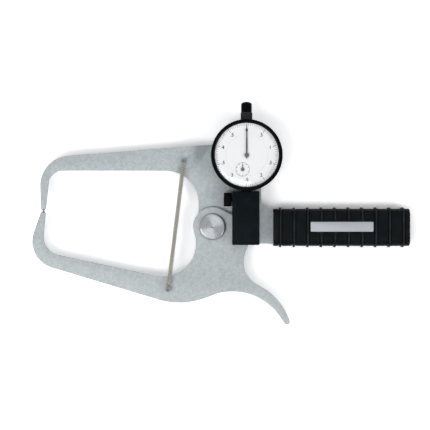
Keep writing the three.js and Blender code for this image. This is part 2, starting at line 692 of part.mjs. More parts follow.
// Indicator case: a ring with bores for the stem and the collar
function indicatorCase() {
  const shell = ring(CASE_RADIUS - CASE_WALL, CASE_RADIUS, CASE_FLOOR, CASE_FRONT);
  const post = rod(CASE_POST_RADIUS, CASE_FLOOR, CASE_FLOOR + CASE_SCREW_LENGTH, TINY_FACETS);
  const tap = rod(CASE_SCREW_RADIUS + SEAT_GAP, 0, CASE_FRONT, TINY_FACETS);
  const bore = alongY(rod(STEM_RADIUS + SEAT_GAP, -BEZEL_RADIUS, 0, SMALL_FACETS));
  const upperBore = alongY(rod(COLLAR_NECK_RADIUS + SEAT_GAP, 0, BEZEL_RADIUS, SMALL_FACETS));
  const places = caseScrewAngles().map(caseScrewPlace);
  const posts = places.map((place) => moved(post, ...place));
  const taps = places.map((place) => moved(tap, ...place));
  const body = cut(join(shell, ...posts), moved(bore, 0, 0, STEM_Z), moved(upperBore, 0, 0, STEM_Z), ...taps);
  return moved(body, PLUNGER_X, DIAL_LEVEL);
}

function caseScrewAngles() {
  return CASE_SCREW_DEGREES.map(THREE.MathUtils.degToRad);
}

function caseScrewPlace(angle) {
  const radius = CASE_RADIUS - CASE_WALL / 2 - CASE_POST_RADIUS;
  return [radius * Math.cos(angle), radius * Math.sin(angle)];
}

function caseBack() {
  const disc = rod(CASE_RADIUS, CASE_BACK, CASE_FLOOR);
  const boss = rod(ARBOR_BOSS_RADIUS, CASE_BACK, CASE_FLOOR + ARBOR_BOSS_HEIGHT, TINY_FACETS);
  const bearing = rod(ARBOR_RADIUS + ARBOR_HOLE_GAP, CASE_FLOOR, CASE_FRONT, TINY_FACETS);
  const screwSpace = screw(CASE_SCREW_RADIUS + SEAT_GAP, CASE_SCREW_HEAD_RADIUS + SEAT_GAP,
    CASE_BACK - OVERRUN, CASE_SCREW_HEAD_HEIGHT + OVERRUN, CASE_FRONT);
  const clear = caseScrewAngles().map((angle) => moved(screwSpace, ...caseScrewPlace(angle)));
  const plate = join(disc, moved(boss, COUNTER_DX, COUNTER_DY));
  return moved(cut(plate, moved(bearing, COUNTER_DX, COUNTER_DY), ...clear), PLUNGER_X, DIAL_LEVEL);
}

function caseScrew(angle) {
  const [x, y] = caseScrewPlace(angle);
  const made = screw(CASE_SCREW_RADIUS, CASE_SCREW_HEAD_RADIUS, CASE_BACK, CASE_SCREW_HEAD_HEIGHT,
    CASE_FLOOR + CASE_SCREW_LENGTH);
  return moved(made, PLUNGER_X + x, DIAL_LEVEL + y);
}

function movementPlate() {
  const disc = rod(CASE_RADIUS - CASE_WALL - SEAT_GAP, MOVEMENT_BACK, CASE_FRONT);
  return moved(cut(disc, ...arborHoles()), PLUNGER_X, DIAL_LEVEL);
}

function arborHoles() {
  const hole = () => rod(ARBOR_RADIUS + ARBOR_HOLE_GAP, 0, HAND_BACK, TINY_FACETS);
  return [hole(), moved(hole(), COUNTER_DX, COUNTER_DY)];
}

// Stem pressed in the case and held in the housing
function stem() {
  const top = DIAL_LEVEL - CASE_RADIUS + CASE_WALL;
  const tube = ring(PLUNGER_RADIUS + RUNNING_GAP, STEM_RADIUS, STEM_BOTTOM, top, SMALL_FACETS);
  return moved(alongY(tube), PLUNGER_X, 0, STEM_Z);
}

// Knurled collar that guides the plunger above the case
function topCollar() {
  const outline = flutedOutline(COLLAR_RADIUS, KNURL_DEPTH, COLLAR_FLUTES);
  const grip = slab(outline, COLLAR_BOTTOM + SEAT_GAP, COLLAR_TOP);
  const neck = rod(COLLAR_NECK_RADIUS, COLLAR_BOTTOM - CASE_WALL, COLLAR_TOP - CASE_WALL, SMALL_FACETS);
  const bore = rod(PLUNGER_RADIUS + RUNNING_GAP, 0, COLLAR_TOP + OVERRUN, SMALL_FACETS);
  return moved(alongY(cut(join(grip, neck), bore)), PLUNGER_X, 0, STEM_Z);
}

// Plunger with a rack cut into its left side
function spindle() {
  const bottom = LIFT_PIN_RADIUS + PIVOT_PLAY + PLUNGER_POINT_LENGTH;
  const shaft = alongY(rod(PLUNGER_RADIUS, bottom, COLLAR_TOP + CAP_GAP, SMALL_FACETS));
  return cut(moved(shaft, PLUNGER_X, 0, STEM_Z), rackCutter());
}

// Rack space: its teeth face -X and stand on the plunger where the pinion reaches them
function rackCutter() {
  const line = PLUNGER_X - RACK_OFFSET;
  const [tip, root] = [line - ADDENDUM_SHARE * RACK_PITCH, line + DEDENDUM_SHARE * RACK_PITCH];
  const rootHalf = (RACK_PITCH * ROOT_SHARE) / 2;
  const tipHalf = (RACK_PITCH * TIP_SHARE) / 2;
  const teeth = Math.ceil((PLUNGER_TRAVEL + 2 * PINION_RADIUS) / RACK_PITCH) + 1;
  const top = DIAL_LEVEL + COUNTER_DY + RACK_MARGIN_TEETH * RACK_PITCH;
  const outer = PLUNGER_X - PLUNGER_RADIUS - OVERRUN;
  const outline = [[outer, top + RACK_PITCH / 2], [root, top + RACK_PITCH / 2]];
  for (let tooth = 0; tooth < teeth; tooth += 1) {
    const middle = top - tooth * RACK_PITCH;
    outline.push([root, middle + rootHalf], [tip, middle + tipHalf]);
    outline.push([tip, middle - tipHalf], [root, middle - rootHalf]);
  }
  const end = top + RACK_PITCH / 2 - teeth * RACK_PITCH;
  outline.push([root, end], [outer, end]);
  return slab(outline, STEM_Z - PLUNGER_RADIUS - OVERRUN, STEM_Z + PLUNGER_RADIUS + OVERRUN);
}

function contactPoint() {
  const bottom = LIFT_PIN_RADIUS + PIVOT_PLAY;
  const made = turned([[0, bottom], [PLUNGER_POINT_RADIUS - PLUNGER_POINT_TIP, bottom],
    [PLUNGER_POINT_RADIUS, bottom + PLUNGER_POINT_TIP], [PLUNGER_POINT_RADIUS, bottom + PLUNGER_POINT_LENGTH],
    [0, bottom + PLUNGER_POINT_LENGTH]], SMALL_FACETS);
  return moved(alongY(made), PLUNGER_X, 0, STEM_Z);
}

function spindleCap() {
  const base = COLLAR_TOP + CAP_GAP;
  const rim = base + CAP_LENGTH - CAP_DOME;
  const made = turned([[0, base], [CAP_RADIUS, base], [CAP_RADIUS, rim],
    [CAP_RADIUS - CAP_DOME / 2, rim + CAP_DOME * CAP_SHOULDER_SHARE], [0, rim + CAP_DOME]], SMALL_FACETS);
  return moved(alongY(made), PLUNGER_X, 0, STEM_Z);
}

// Counter arbor: the rack's pinion below and the large wheel above
function counterArbor() {
  const shaftEnd = COUNTER_HAND_BACK + COUNTER_HUB_HEIGHT;
  const shaft = rod(ARBOR_RADIUS, CASE_FLOOR + CASE_STANDOFF, shaftEnd, TINY_FACETS);
  const pinion = slab(gearOutline(PINION_RADIUS, PINION_TEETH, Math.PI / PINION_TEETH),
    STEM_Z - PINION_HEIGHT / 2, STEM_Z + PINION_HEIGHT / 2);
  const toCentre = Math.atan2(-COUNTER_DY, -COUNTER_DX);
  const wheel = slab(gearOutline(WHEEL_RADIUS, WHEEL_TEETH, toCentre, true), GEAR_BACK, GEAR_FRONT);
  return moved(join(shaft, pinion, wheel), PLUNGER_X + COUNTER_DX, DIAL_LEVEL + COUNTER_DY);
}

function centreArbor() {
  const toCounter = Math.atan2(COUNTER_DY, COUNTER_DX);
  const shaft = rod(ARBOR_RADIUS, GEAR_BACK, HAND_BACK + HAND_HUB_HEIGHT, TINY_FACETS);
  const toothAngle = toCounter + Math.PI / CENTRE_TEETH;
  const pinion = slab(gearOutline(CENTRE_PINION_RADIUS, CENTRE_TEETH, toothAngle), GEAR_BACK, GEAR_FRONT);
  return moved(join(shaft, pinion), PLUNGER_X, DIAL_LEVEL);
}

// A hand pointing to +Y with its hub
function hand(length, tail, hubRadius, hubHeight, back) {
  const half = HAND_WIDTH / 2;
  const tip = half * HAND_TIP_SHARE;
  const under = back + hubHeight * BLADE_HEIGHT_SHARE;
  const outline = [[-half, -tail], [half, -tail], [tip, length], [-tip, length]];
  const blade = slab(outline, under, under + HAND_THICKNESS);
  const hub = rod(hubRadius, back, back + hubHeight, SMALL_FACETS);
  return cut(join(blade, hub), rod(ARBOR_RADIUS + ARBOR_HOLE_GAP, 0, BEZEL_FRONT, TINY_FACETS));
}

function mainHand() {
  const made = hand(HAND_LENGTH, HAND_TAIL, HAND_HUB_RADIUS, HAND_HUB_HEIGHT, HAND_BACK);
  return moved(made, PLUNGER_X, DIAL_LEVEL);
}

function counterHand() {
  const made = hand(COUNTER_HAND_LENGTH, COUNTER_HAND_TAIL, COUNTER_HUB_RADIUS, COUNTER_HUB_HEIGHT,
    COUNTER_HAND_BACK);
  return moved(made, PLUNGER_X + COUNTER_DX, DIAL_LEVEL + COUNTER_DY);
}

// Dial in two parts: a fixed centre and an outer ring that turns with the bezel
function dialCentre() {
  const disc = rod(DIAL_SPLIT_RADIUS - SEAT_GAP / 2, CASE_FRONT, DIAL_FRONT);
  return moved(cut(disc, ...arborHoles()), PLUNGER_X, DIAL_LEVEL);
}

function dialRing() {
  const made = ring(DIAL_SPLIT_RADIUS + SEAT_GAP / 2, DIAL_RADIUS, CASE_FRONT + DIAL_FLOAT, DIAL_FRONT);
  return moved(made, PLUNGER_X, DIAL_LEVEL);
}

// Bezel: skirt over the case, groove for the crystal and a sloping inner lip
function bezel() {
  const skirt = CASE_RADIUS + BEZEL_GAP;
  const inner = DIAL_RADIUS + BEZEL_GAP;
  const groove = inner + BEZEL_LIP;
  const grooveTop = CRYSTAL_BACK + CRYSTAL_THICKNESS + 2 * BEZEL_GAP;
  const made = turned([[skirt, BEZEL_BACK], [BEZEL_RADIUS, BEZEL_BACK],
    [BEZEL_RADIUS, BEZEL_FRONT - BEZEL_BEVEL / 2],
    [BEZEL_RADIUS - BEZEL_BEVEL / 2, BEZEL_FRONT], [BEZEL_RADIUS - BEZEL_BEVEL, BEZEL_FRONT],
    [inner + BEZEL_LIP / 2, grooveTop + BEZEL_LIP], [inner + BEZEL_LIP / 2, grooveTop], [groove, grooveTop],
    [groove, CRYSTAL_BACK - BEZEL_GAP], [inner, CRYSTAL_BACK - BEZEL_GAP], [inner, CASE_FRONT + BEZEL_GAP],
    [skirt, CASE_FRONT + BEZEL_GAP], [skirt, BEZEL_BACK]]);
  return moved(made, PLUNGER_X, DIAL_LEVEL);
}

function crystal() {
  const radius = DIAL_RADIUS + BEZEL_LIP;
  const front = CRYSTAL_BACK + CRYSTAL_THICKNESS;
  const made = turned([[0, CRYSTAL_BACK], [radius, CRYSTAL_BACK], [radius, front],
    [radius - 2 * BEZEL_LIP, front], [radius / 2, front + CRYSTAL_DOME * CRYSTAL_DOME_SHARE],
    [0, front + CRYSTAL_DOME]]);
  return moved(made, PLUNGER_X, DIAL_LEVEL);
}

// Spring post: base, waist for the hook and a head
function springPost(x, y) {
  const base = JAW_FRONT + POST_BASE_HEIGHT;
  const neck = SPRING_Z + POST_HEAD_CLEARANCE;
  const top = neck + POST_HEAD_HEIGHT;
  const made = turned([[0, JAW_BACK], [POST_RADIUS, JAW_BACK], [POST_RADIUS, JAW_FRONT],
    [POST_BASE_RADIUS, JAW_FRONT], [POST_BASE_RADIUS, base], [POST_RADIUS, base], [POST_RADIUS, neck],
    [POST_HEAD_RADIUS, neck], [POST_HEAD_RADIUS, top], [0, top]], SMALL_FACETS);
  return moved(made, x, y);
}

// Route of the spring wire: a hook round each post and close curls between them
function springRoute() {
  const start = new THREE.Vector3(UPPER_POST_X, UPPER_POST_Y, SPRING_Z);
  const end = new THREE.Vector3(LOWER_POST_X, LOWER_POST_Y, SPRING_Z);
  const along = end.clone().sub(start);
  const length = along.length();
  along.normalize();
  const across = AXIS_UP.clone().cross(along);
  const place = (distance, side, height) => start.clone()
    .addScaledVector(along, distance).addScaledVector(across, side).addScaledVector(AXIS_UP, height);
  const hookRadius = POST_RADIUS + SPRING_WIRE_RADIUS + SEAT_GAP;
  const coilRadius = SPRING_RADIUS - SPRING_WIRE_RADIUS;
  const curls = Math.floor((length - 2 * SPRING_LEAD) / SPRING_PITCH);
  const lead = (length - curls * SPRING_PITCH) / 2;
  const hook = springHook(hookRadius);
  const coil = [];
  for (let step = 0; step <= curls * CURL_STEPS; step += 1) {
    const turn = (2 * Math.PI * step) / CURL_STEPS;
    const distance = lead + (SPRING_PITCH * step) / CURL_STEPS;
    coil.push(place(distance, -coilRadius * Math.cos(turn), coilRadius * Math.sin(turn)));
  }
  return [
    ...hook.map(([x, y]) => place(x, y, 0)),
    ...coil,
    ...hook.reverse().map(([x, y]) => place(length - x, y, 0)),
  ];
}

// Open loop about the post, from its free end to the side where the curls begin
function springHook(radius) {
  const sweep = THREE.MathUtils.degToRad(HOOK_SWEEP_DEGREES);
  const finish = -Math.PI / 2;
  const points = [];
  for (let step = 0; step <= HOOK_STEPS; step += 1) {
    const angle = finish + sweep - (sweep * step) / HOOK_STEPS;
    points.push([radius * Math.cos(angle), radius * Math.sin(angle)]);
  }
  return points;
}

// Sweeps a round wire along a route as one unbroken tube
function wire(route, radius, sides) {
  const places = [];
  const corners = [];
  const normal = AXIS_UP.clone();
  route.forEach((point, i) => {
    const [before, after] = [route[Math.max(i - 1, 0)], route[Math.min(i + 1, route.length - 1)]];
    const tangent = after.clone().sub(before).normalize();
    normal.addScaledVector(tangent, -normal.dot(tangent)).normalize();
    const side = tangent.clone().cross(normal);
    for (let k = 0; k < sides; k += 1) {
      const angle = (2 * Math.PI * k) / sides;
      const rim = point.clone().addScaledVector(normal, radius * Math.cos(angle));
      places.push(...rim.addScaledVector(side, radius * Math.sin(angle)).toArray());
    }
  });
  const last = (route.length - 1) * sides;
  for (let i = 0; i < last; i += sides) {
    for (let k = 0; k < sides; k += 1) {
      const next = (k + 1) % sides;
      corners.push(i + k, i + next, i + sides + k, i + next, i + sides + next, i + sides + k);
    }
  }
  for (let k = 1; k < sides - 1; k += 1) {
    corners.push(0, k + 1, k, last, last + k, last + k + 1);
  }
  const geometry = new THREE.BufferGeometry();
  geometry.setAttribute('position', new THREE.Float32BufferAttribute(places, 3));
  geometry.setIndex(corners);
  return solidOf(geometry);
}

// Least gap between two stretches of the wire that are half a curl or more apart
function leastGap(route, radius) {
  let least = Infinity;
  for (let i = 0; i < route.length; i += 1) {
    for (let j = i + CURL_STEPS / 2; j < Math.min(i + 3 * CURL_STEPS, route.length); j += 1) {
      least = Math.min(least, route[i].distanceTo(route[j]));
    }
  }
  return least - 2 * radius;
}

function tensionSpring() {
  const route = springRoute();
  console.log(`tension_spring least gap to itself ${leastGap(route, SPRING_WIRE_RADIUS).toFixed(2)} mm`);
  return wire(route, SPRING_WIRE_RADIUS, WIRE_SIDES);
}

// Cross-section of the grip, as [height, width] about its middle, for pulling along X
function gripSection(inset) {
  const half = GRIP_WIDTH / 2 - inset;
  const [back, front] = [inset, GRIP_THICKNESS - inset];
  const corner = GRIP_CORNER - inset;
  const corners = [[-front, -half, corner], [-back, -half, corner],
    [-back, half, corner], [-front, half, corner]];
  return roundedOutline(corners, GRIP_ARC_STEP_DEGREES);
}

function ribPlace(index) {
  return GRIP_LEFT + RIB_INSET + index * RIB_SPACING;
}

function gripScrewPlaces() {
  return GRIP_SCREW_SPACES.map((space) => [ribPlace(space) + RIB_SPACING / 2, GRIP_LEVEL]);
}

// Whole grip before it is split: body, ribs, panel ridges and label recess
function gripBody() {
  const body = chamferedSlab(gripSection(RIB_HEIGHT), GRIP_LEFT, GRIP_LEFT + GRIP_LENGTH, GRIP_END_BEVEL);
  const ribs = [];
  for (let index = 0; index < RIB_COUNT; index += 1) {
    const left = ribPlace(index) - RIB_WIDTH / 2;
    ribs.push(chamferedSlab(gripSection(0), left, left + RIB_WIDTH, RIB_BEVEL));
  }
  const ribbed = moved(alongX(join(body, ...ribs)), 0, GRIP_LEVEL);
  const panelled = join(cut(ribbed, panelSpace()), panelRidge(-1), panelRidge(1));
  return cut(panelled, labelBlock(SEAT_GAP, GRIP_THICKNESS));
}

// Flat between two ribs, where the ribs stop short of the label
function panelSpace() {
  const half = PANEL_WIDTH / 2;
  return block(ribPlace(PANEL_FIRST_RIB) + RIB_WIDTH / 2, ribPlace(PANEL_LAST_RIB) - RIB_WIDTH / 2,
    GRIP_LEVEL - half, GRIP_LEVEL + half, BODY_SKIN, GRIP_THICKNESS + OVERRUN);
}

function panelRidge(side) {
  const level = GRIP_LEVEL + (side * PANEL_WIDTH) / 2;
  return block(ribPlace(PANEL_FIRST_RIB), ribPlace(PANEL_LAST_RIB), level - PANEL_RIDGE / 2,
    level + PANEL_RIDGE / 2, GRIP_THICKNESS / 2, BODY_SKIN + PANEL_RIDGE_HEIGHT);
}

// The label's own space, grown by a gap, with its back on the recess floor
function labelBlock(gap, front) {
  const middle = (ribPlace(PANEL_FIRST_RIB) + ribPlace(PANEL_LAST_RIB)) / 2;
  const level = GRIP_LEVEL + LABEL_RISE;
  const [halfLength, halfWidth] = [LABEL_LENGTH / 2 + gap, LABEL_WIDTH / 2 + gap];
  return block(middle - halfLength, middle + halfLength, level - halfWidth, level + halfWidth,
    BODY_SKIN - LABEL_RECESS, front);
}

function tangSlot() {
  const gap = SEAT_GAP;
  const [back, front] = [FRAME_BACK - gap, FRAME_FRONT + gap];
  const half = TANG_CORE_WIDTH / 2 + gap;
  const coreEnd = GRIP_LEFT + TANG_CORE_LENGTH + gap;
  const mouthEnd = TANG_SHOULDER + gap;
  const mouth = block(GRIP_LEFT - OVERRUN, mouthEnd, -BOSS_RADIUS - gap, TANG_TOP + gap, back, front);
  const core = block(TANG_SHOULDER - OVERRUN, coreEnd, GRIP_LEVEL - half, GRIP_LEVEL + half, back, front);
  return join(mouth, core);
}

function gripScrew(place) {
  const made = screw(SCREW_RADIUS, SCREW_HEAD_RADIUS, RIB_HEIGHT + SEAT_GAP, SCREW_HEAD_HEIGHT,
    RIB_HEIGHT + SEAT_GAP + GRIP_SCREW_LENGTH);
  return moved(made, ...place);
}

function gripScrewSpace(place) {
  const made = screw(SCREW_RADIUS + SEAT_GAP, SCREW_HEAD_RADIUS + SEAT_GAP, -OVERRUN,
    OVERRUN + RIB_HEIGHT + SEAT_GAP + SCREW_HEAD_HEIGHT, RIB_HEIGHT + 2 * SEAT_GAP + GRIP_SCREW_LENGTH);
  return moved(made, ...place);
}

function gripHalf(back, front) {
  const window = block(GRIP_LEFT - OVERRUN, GRIP_LEFT + GRIP_LENGTH + OVERRUN, GRIP_LEVEL - GRIP_WIDTH,
    GRIP_LEVEL + GRIP_WIDTH, back, front);
  const hollow = cut(gripBody(), tangSlot(), ...gripScrewPlaces().map(gripScrewSpace));
  return hollow.intersect(window);
}

// Names every sub-part and its finish
const caliper = new THREE.Group();

function add(name, solid, finish) {
  const mesh = new THREE.Mesh(geometryOf(solid), new THREE.MeshStandardMaterial(FINISHES[finish]));
  mesh.name = name;
  caliper.add(mesh);
}

add('frame_plate', framePlate(), 'paintedFrame');
add('upper_contact', upperContact(), 'carbide');
add('upper_spring_post', springPost(UPPER_POST_X, UPPER_POST_Y), 'steel');
add('pivot_stud', pivotStud(), 'steel');
add('pivot_washer', pivotWasher(), 'brass');
add('pivot_nut', pivotNut(), 'steel');
add('lower_jaw', lowerJaw(), 'paintedJaw');
add('lower_contact', lowerContact(), 'carbide');
add('lower_spring_post', springPost(LOWER_POST_X, LOWER_POST_Y), 'steel');
add('pivot_bush', pivotBush(), 'brass');
add('lift_pin', liftPin(), 'steel');
add('tension_spring', tensionSpring(), 'spring');
add('indicator_housing', indicatorHousing(), 'blackMetal');
housingScrewPlaces().forEach((place, i) => add(`housing_screw_${i + 1}`, housingScrew(place), 'steel'));
add('clamp_screw', clampScrew(), 'blackMetal');
add('indicator_case', indicatorCase(), 'blackMetal');
add('case_back', caseBack(), 'steel');
caseScrewAngles().forEach((angle, i) => add(`case_screw_${i + 1}`, caseScrew(angle), 'steel'));
add('movement_plate', movementPlate(), 'brass');
add('stem', stem(), 'steel');
add('top_collar', topCollar(), 'blackMetal');
add('spindle', spindle(), 'steel');
add('contact_point', contactPoint(), 'steel');
add('spindle_cap', spindleCap(), 'bezelBlack');
add('counter_arbor', counterArbor(), 'brass');
add('counter_hand', counterHand(), 'hand');
add('centre_arbor', centreArbor(), 'brass');
add('main_hand', mainHand(), 'hand');
add('dial_centre', dialCentre(), 'dial');
add('dial_ring', dialRing(), 'dial');
add('bezel', bezel(), 'bezelBlack');
add('crystal', crystal(), 'crystal');
add('grip_front', gripHalf(GRIP_THICKNESS / 2, GRIP_THICKNESS + OVERRUN), 'gripBlack');
add('grip_back', gripHalf(-OVERRUN, GRIP_THICKNESS / 2), 'gripBlack');
gripScrewPlaces().forEach((place, i) => add(`grip_screw_${i + 1}`, gripScrew(place), 'steel'));
add('label_plate', labelBlock(0, BODY_SKIN - LABEL_RECESS + LABEL_THICKNESS), 'label');

// Stands the origin under the middle of the whole gauge
const box = new THREE.Box3().setFromObject(caliper);
const middle = box.getCenter(new THREE.Vector3());
caliper.position.set(-middle.x, -middle.y, -box.min.z);

export default caliper;
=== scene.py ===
"""Outside dial caliper gauge: the visible pieces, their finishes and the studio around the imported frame."""
import math

import bmesh
import bpy
from bpy.props import FloatProperty, FloatVectorProperty, IntProperty, PointerProperty
from mathutils import Matrix, Vector


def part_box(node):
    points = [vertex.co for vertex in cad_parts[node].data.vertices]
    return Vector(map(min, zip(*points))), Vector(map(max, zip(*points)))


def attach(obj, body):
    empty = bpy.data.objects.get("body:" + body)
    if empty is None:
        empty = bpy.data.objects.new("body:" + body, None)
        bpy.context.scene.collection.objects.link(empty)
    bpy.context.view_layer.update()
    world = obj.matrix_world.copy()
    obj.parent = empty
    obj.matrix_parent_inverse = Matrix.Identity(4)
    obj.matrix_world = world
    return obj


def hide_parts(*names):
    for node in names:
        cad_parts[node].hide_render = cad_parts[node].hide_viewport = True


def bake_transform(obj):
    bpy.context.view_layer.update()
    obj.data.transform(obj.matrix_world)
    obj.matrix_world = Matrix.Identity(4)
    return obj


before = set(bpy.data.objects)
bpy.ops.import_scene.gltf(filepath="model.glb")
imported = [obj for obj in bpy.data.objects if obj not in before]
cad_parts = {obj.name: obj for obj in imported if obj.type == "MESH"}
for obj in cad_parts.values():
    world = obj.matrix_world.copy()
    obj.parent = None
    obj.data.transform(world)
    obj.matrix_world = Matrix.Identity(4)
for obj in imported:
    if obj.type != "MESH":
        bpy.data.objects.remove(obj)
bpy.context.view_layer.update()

bl_info = {
    "name": "Outside dial caliper gauge",
    "version": (1, 0, 0),
    "blender": (4, 5, 0),
    "location": "3D View > Sidebar > Gauge",
    "description": "Makes the pieces, finishes and stage of an outside dial caliper gauge",
    "category": "Add Mesh",
}

MM = 0.001


def middle(node):
    """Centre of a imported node's box."""
    low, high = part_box(node)
    return (low + high) / 2


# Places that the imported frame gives
PIVOT = middle("pivot_stud")
DIAL = middle("bezel")
STEM = middle("stem")
PLATE_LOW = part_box("frame_plate")[0].z
JAW_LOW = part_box("lower_jaw")[0].z
JAW_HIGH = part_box("lower_jaw")[1].z
PLATE = JAW_HIGH - JAW_LOW

# Outline corners from the pivot axis, each as x, y and the radius of its rounding, in millimetres
CORNER = 0.4
TIP_LEFT = -136.95
TIP_RIGHT = -133.25
FRAME_TIP = 13.9
JAW_TIP = 11.5
ARM_UNDER = 44.9
BODY_RIGHT = 39.2
BOSS = 13.6
NECK_TOP = 12.7
NECK_END = 54.24
TANG_TOP = 8.05
TANG_UNDER = -8.95
TANG_END = 144.66
FRAME_CORNERS = (
    (TIP_LEFT, FRAME_TIP, CORNER), (-138.0, 55.1, 24.0), (BODY_RIGHT, 68.9, 12.0),
    (BODY_RIGHT, NECK_TOP, 9.0), (NECK_END, NECK_TOP, CORNER), (NECK_END, TANG_TOP, CORNER),
    (TANG_END, TANG_TOP, CORNER), (TANG_END, TANG_UNDER, CORNER), (NECK_END, TANG_UNDER, CORNER),
    (NECK_END, -BOSS, CORNER), (-BOSS, -BOSS, BOSS), (-8.5, ARM_UNDER, 27.0),
    (-129.8, ARM_UNDER, 11.0), (TIP_RIGHT, FRAME_TIP, CORNER),
)
JAW_CORNERS = (
    (TIP_LEFT, JAW_TIP, CORNER), (-150.3, -25.9, 22.3), (-24.18, -63.7, 58.0), (33.07, -42.18, 45.0),
    (58.78, -78.69, 2.1), (62.4, -76.81, 2.1), (55.1, -57.69, 44.6), (20.9, -37.2, 20.0),
    (33.86, 0.7, 5.0), (-26.42, 30.43, 15.4), (0.14, -48.95, 26.25), (-136.18, -19.6, 15.0),
    (TIP_RIGHT, JAW_TIP, CORNER),
)

# Meshes
WELD = 1e-7
OVERRUN = 1 * MM
SHARP = math.radians(25)
SOFT_SHARP = math.radians(28)
PLATE_SHARP = math.radians(20)
WIRE_SHARP = math.radians(50)
BOX_ARC_STEP = math.radians(10)
LABEL_ARC_STEP = math.radians(15)
LEAST_ARC_STEPS = 3
EDGE_STEPS = 3
END_FACING = 0.9
FLUTE_SHARES = (0, 0.6, 1, 0.6)
CIRCLE_STEPS = 64
FINE_STEPS = 48
JAW_HOLE_STEPS = 40
HOLE_STEPS = 32
TINY_STEPS = 24
TURN_TO = {
    "x": Matrix.Rotation(math.radians(90), 4, "Y"),
    "y": Matrix.Rotation(math.radians(-90), 4, "X"),
    "z": Matrix.Identity(4),
}

# Looks
WHITE = (1, 1, 1, 1)
IN_PLANE = (1, 1, 0)
NOISE_SPREAD = 0.3, 0.7
MIX_COLOURS = 6, 7
MIX_RESULT = 2
AXIS_TURNS = {"y": (math.radians(90), 0, 0), "z": (0, 0, 0)}
FLOOR_GAIN = 1.47
FLOOR_FADE = 0.35, 0.9


def srgb(red, green, blue):
    """Screen colour values from 0 to 255 as linear colour with full alpha."""
    def linear(value):
        share = value / 255
        return share / 12.92 if share <= 0.04045 else ((share + 0.055) / 1.055) ** 2.4
    return (linear(red), linear(green), linear(blue), 1.0)


def length_setting(name, description, millimetres):
    return FloatProperty(name=name, description=description, default=millimetres * MM, min=0.0,
                         precision=5, subtype="DISTANCE", unit="LENGTH")


def colour_setting(name, description, *shade):
    return FloatVectorProperty(name=name, description=description, default=srgb(*shade), size=4,
                               min=0.0, max=1.0, subtype="COLOR")


class GaugeSizes(bpy.types.PropertyGroup):
    """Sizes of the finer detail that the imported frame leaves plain."""
    plate_edge: length_setting("Plate edge", "Rounding along the edges of both jaw plates", 0.4)
    joggle_bend: length_setting("Joggle bend", "Half the length of each soft bend of the upper arm", 2.2)
    arc_step: FloatProperty(name="Arc step", description="Angle between points of a rounded corner",
                            default=math.radians(3), min=math.radians(1), subtype="ANGLE", unit="ROTATION")
    round_steps: IntProperty(name="Round steps", description="Faces around the large turned pieces",
                             default=128, min=24)
    small_steps: IntProperty(name="Small steps", description="Faces around the small turned pieces",
                             default=48, min=12)
    spring_pitch: length_setting("Spring pitch", "Distance from curl to curl of the tension spring", 1.7)
    spring_wire: length_setting("Spring wire", "Radius of the spring's wire", 0.6)
    knurl_depth: length_setting("Knurl depth", "Depth of the grooves of the knurled heads", 0.3)
    knurl_count: IntProperty(name="Knurl count", description="Grooves around a knurled head",
                             default=30, min=8)
    tick_width: length_setting("Tick width", "Width of a dial division", 0.26)
    tick_short: length_setting("Short tick", "Length of a single division", 1.5)
    tick_middle: length_setting("Middle tick", "Length of each fifth division", 1.9)
    tick_long: length_setting("Long tick", "Length of each tenth division", 2.5)
    numeral_height: length_setting("Numeral height", "Text size of the dial's numerals", 3.8)
    numeral_radius: length_setting("Numeral radius", "Distance of the numerals from the dial's centre", 19.5)
    ink_thickness: length_setting("Ink thickness", "Height of the print above the dial", 0.03)
    rib_edge: length_setting("Rib edge", "Rounding along the crest of each grip rib", 0.4)


class GaugeColours(bpy.types.PropertyGroup):
    """Colours of the gauge's finishes."""
    frame_enamel: colour_setting("Frame enamel", "Grey enamel of the frame plate", 183, 191, 194)
    jaw_enamel: colour_setting("Jaw enamel", "Grey enamel of the swinging jaw", 184, 191, 193)
    steel: colour_setting("Steel", "Turned and ground steel", 178, 181, 182)
    pivot_steel: colour_setting("Pivot steel", "Turned head of the pivot", 162, 166, 169)
    spring_steel: colour_setting("Spring steel", "Drawn spring wire", 182, 179, 167)
    post_steel: colour_setting("Post steel", "Plated posts of the tension spring", 140, 145, 147)
    hard_metal: colour_setting("Hard metal", "Contacts at the jaw tips", 84, 88, 90)
    housing_black: colour_setting("Housing black", "Satin black of the indicator housing", 14, 21, 24)
    gloss_black: colour_setting("Gloss black", "Bezel and plunger cap", 6, 7, 9)
    slope_grey: colour_setting("Slope grey", "Sloping lip inside the bezel", 36, 38, 41)
    grip_black: colour_setting("Grip black", "Moulded plastic of the grip", 14, 18, 21)
    # Crest colour: a painted highlight on the crests of the grip's ribs, lighter than the grip's own black
    crest_highlight_black: colour_setting("Crest black", "Painted highlight on the grip's rib crests", 34, 37, 39)
    label_metal: colour_setting("Label metal", "Bare brushed plate on the grip", 168, 171, 178)
    brass: colour_setting("Brass", "Dull brass of the movement", 114, 113, 96)
    hub_grey: colour_setting("Hub grey", "Dull hubs of both hands", 84, 86, 80)
    dial_white: colour_setting("Dial white", "Face of the dial", 247, 249, 251)
    ink: colour_setting("Ink", "Dial divisions and numerals", 26, 27, 30)
    hand_black: colour_setting("Hand black", "Both hands", 8, 9, 10)
    crystal: colour_setting("Crystal", "Clear crystal over the dial", 255, 255, 255)
    floor: colour_setting("Floor", "Floor and surroundings", 252, 252, 253)


# Mesh helpers

def rounded_outline(corners, step):
    """Points along a polygon whose corners, given as x, y and radius, are rounded by arcs."""
    outline = []
    for index, (x, y, radius) in enumerate(corners):
        corner = Vector((x, y))
        before = (Vector(corners[index - 1][:2]) - corner).normalized()
        after = (Vector(corners[(index + 1) % len(corners)][:2]) - corner).normalized()
        outline.extend(corner_arc(corner, before, after, radius, step))
    return outline


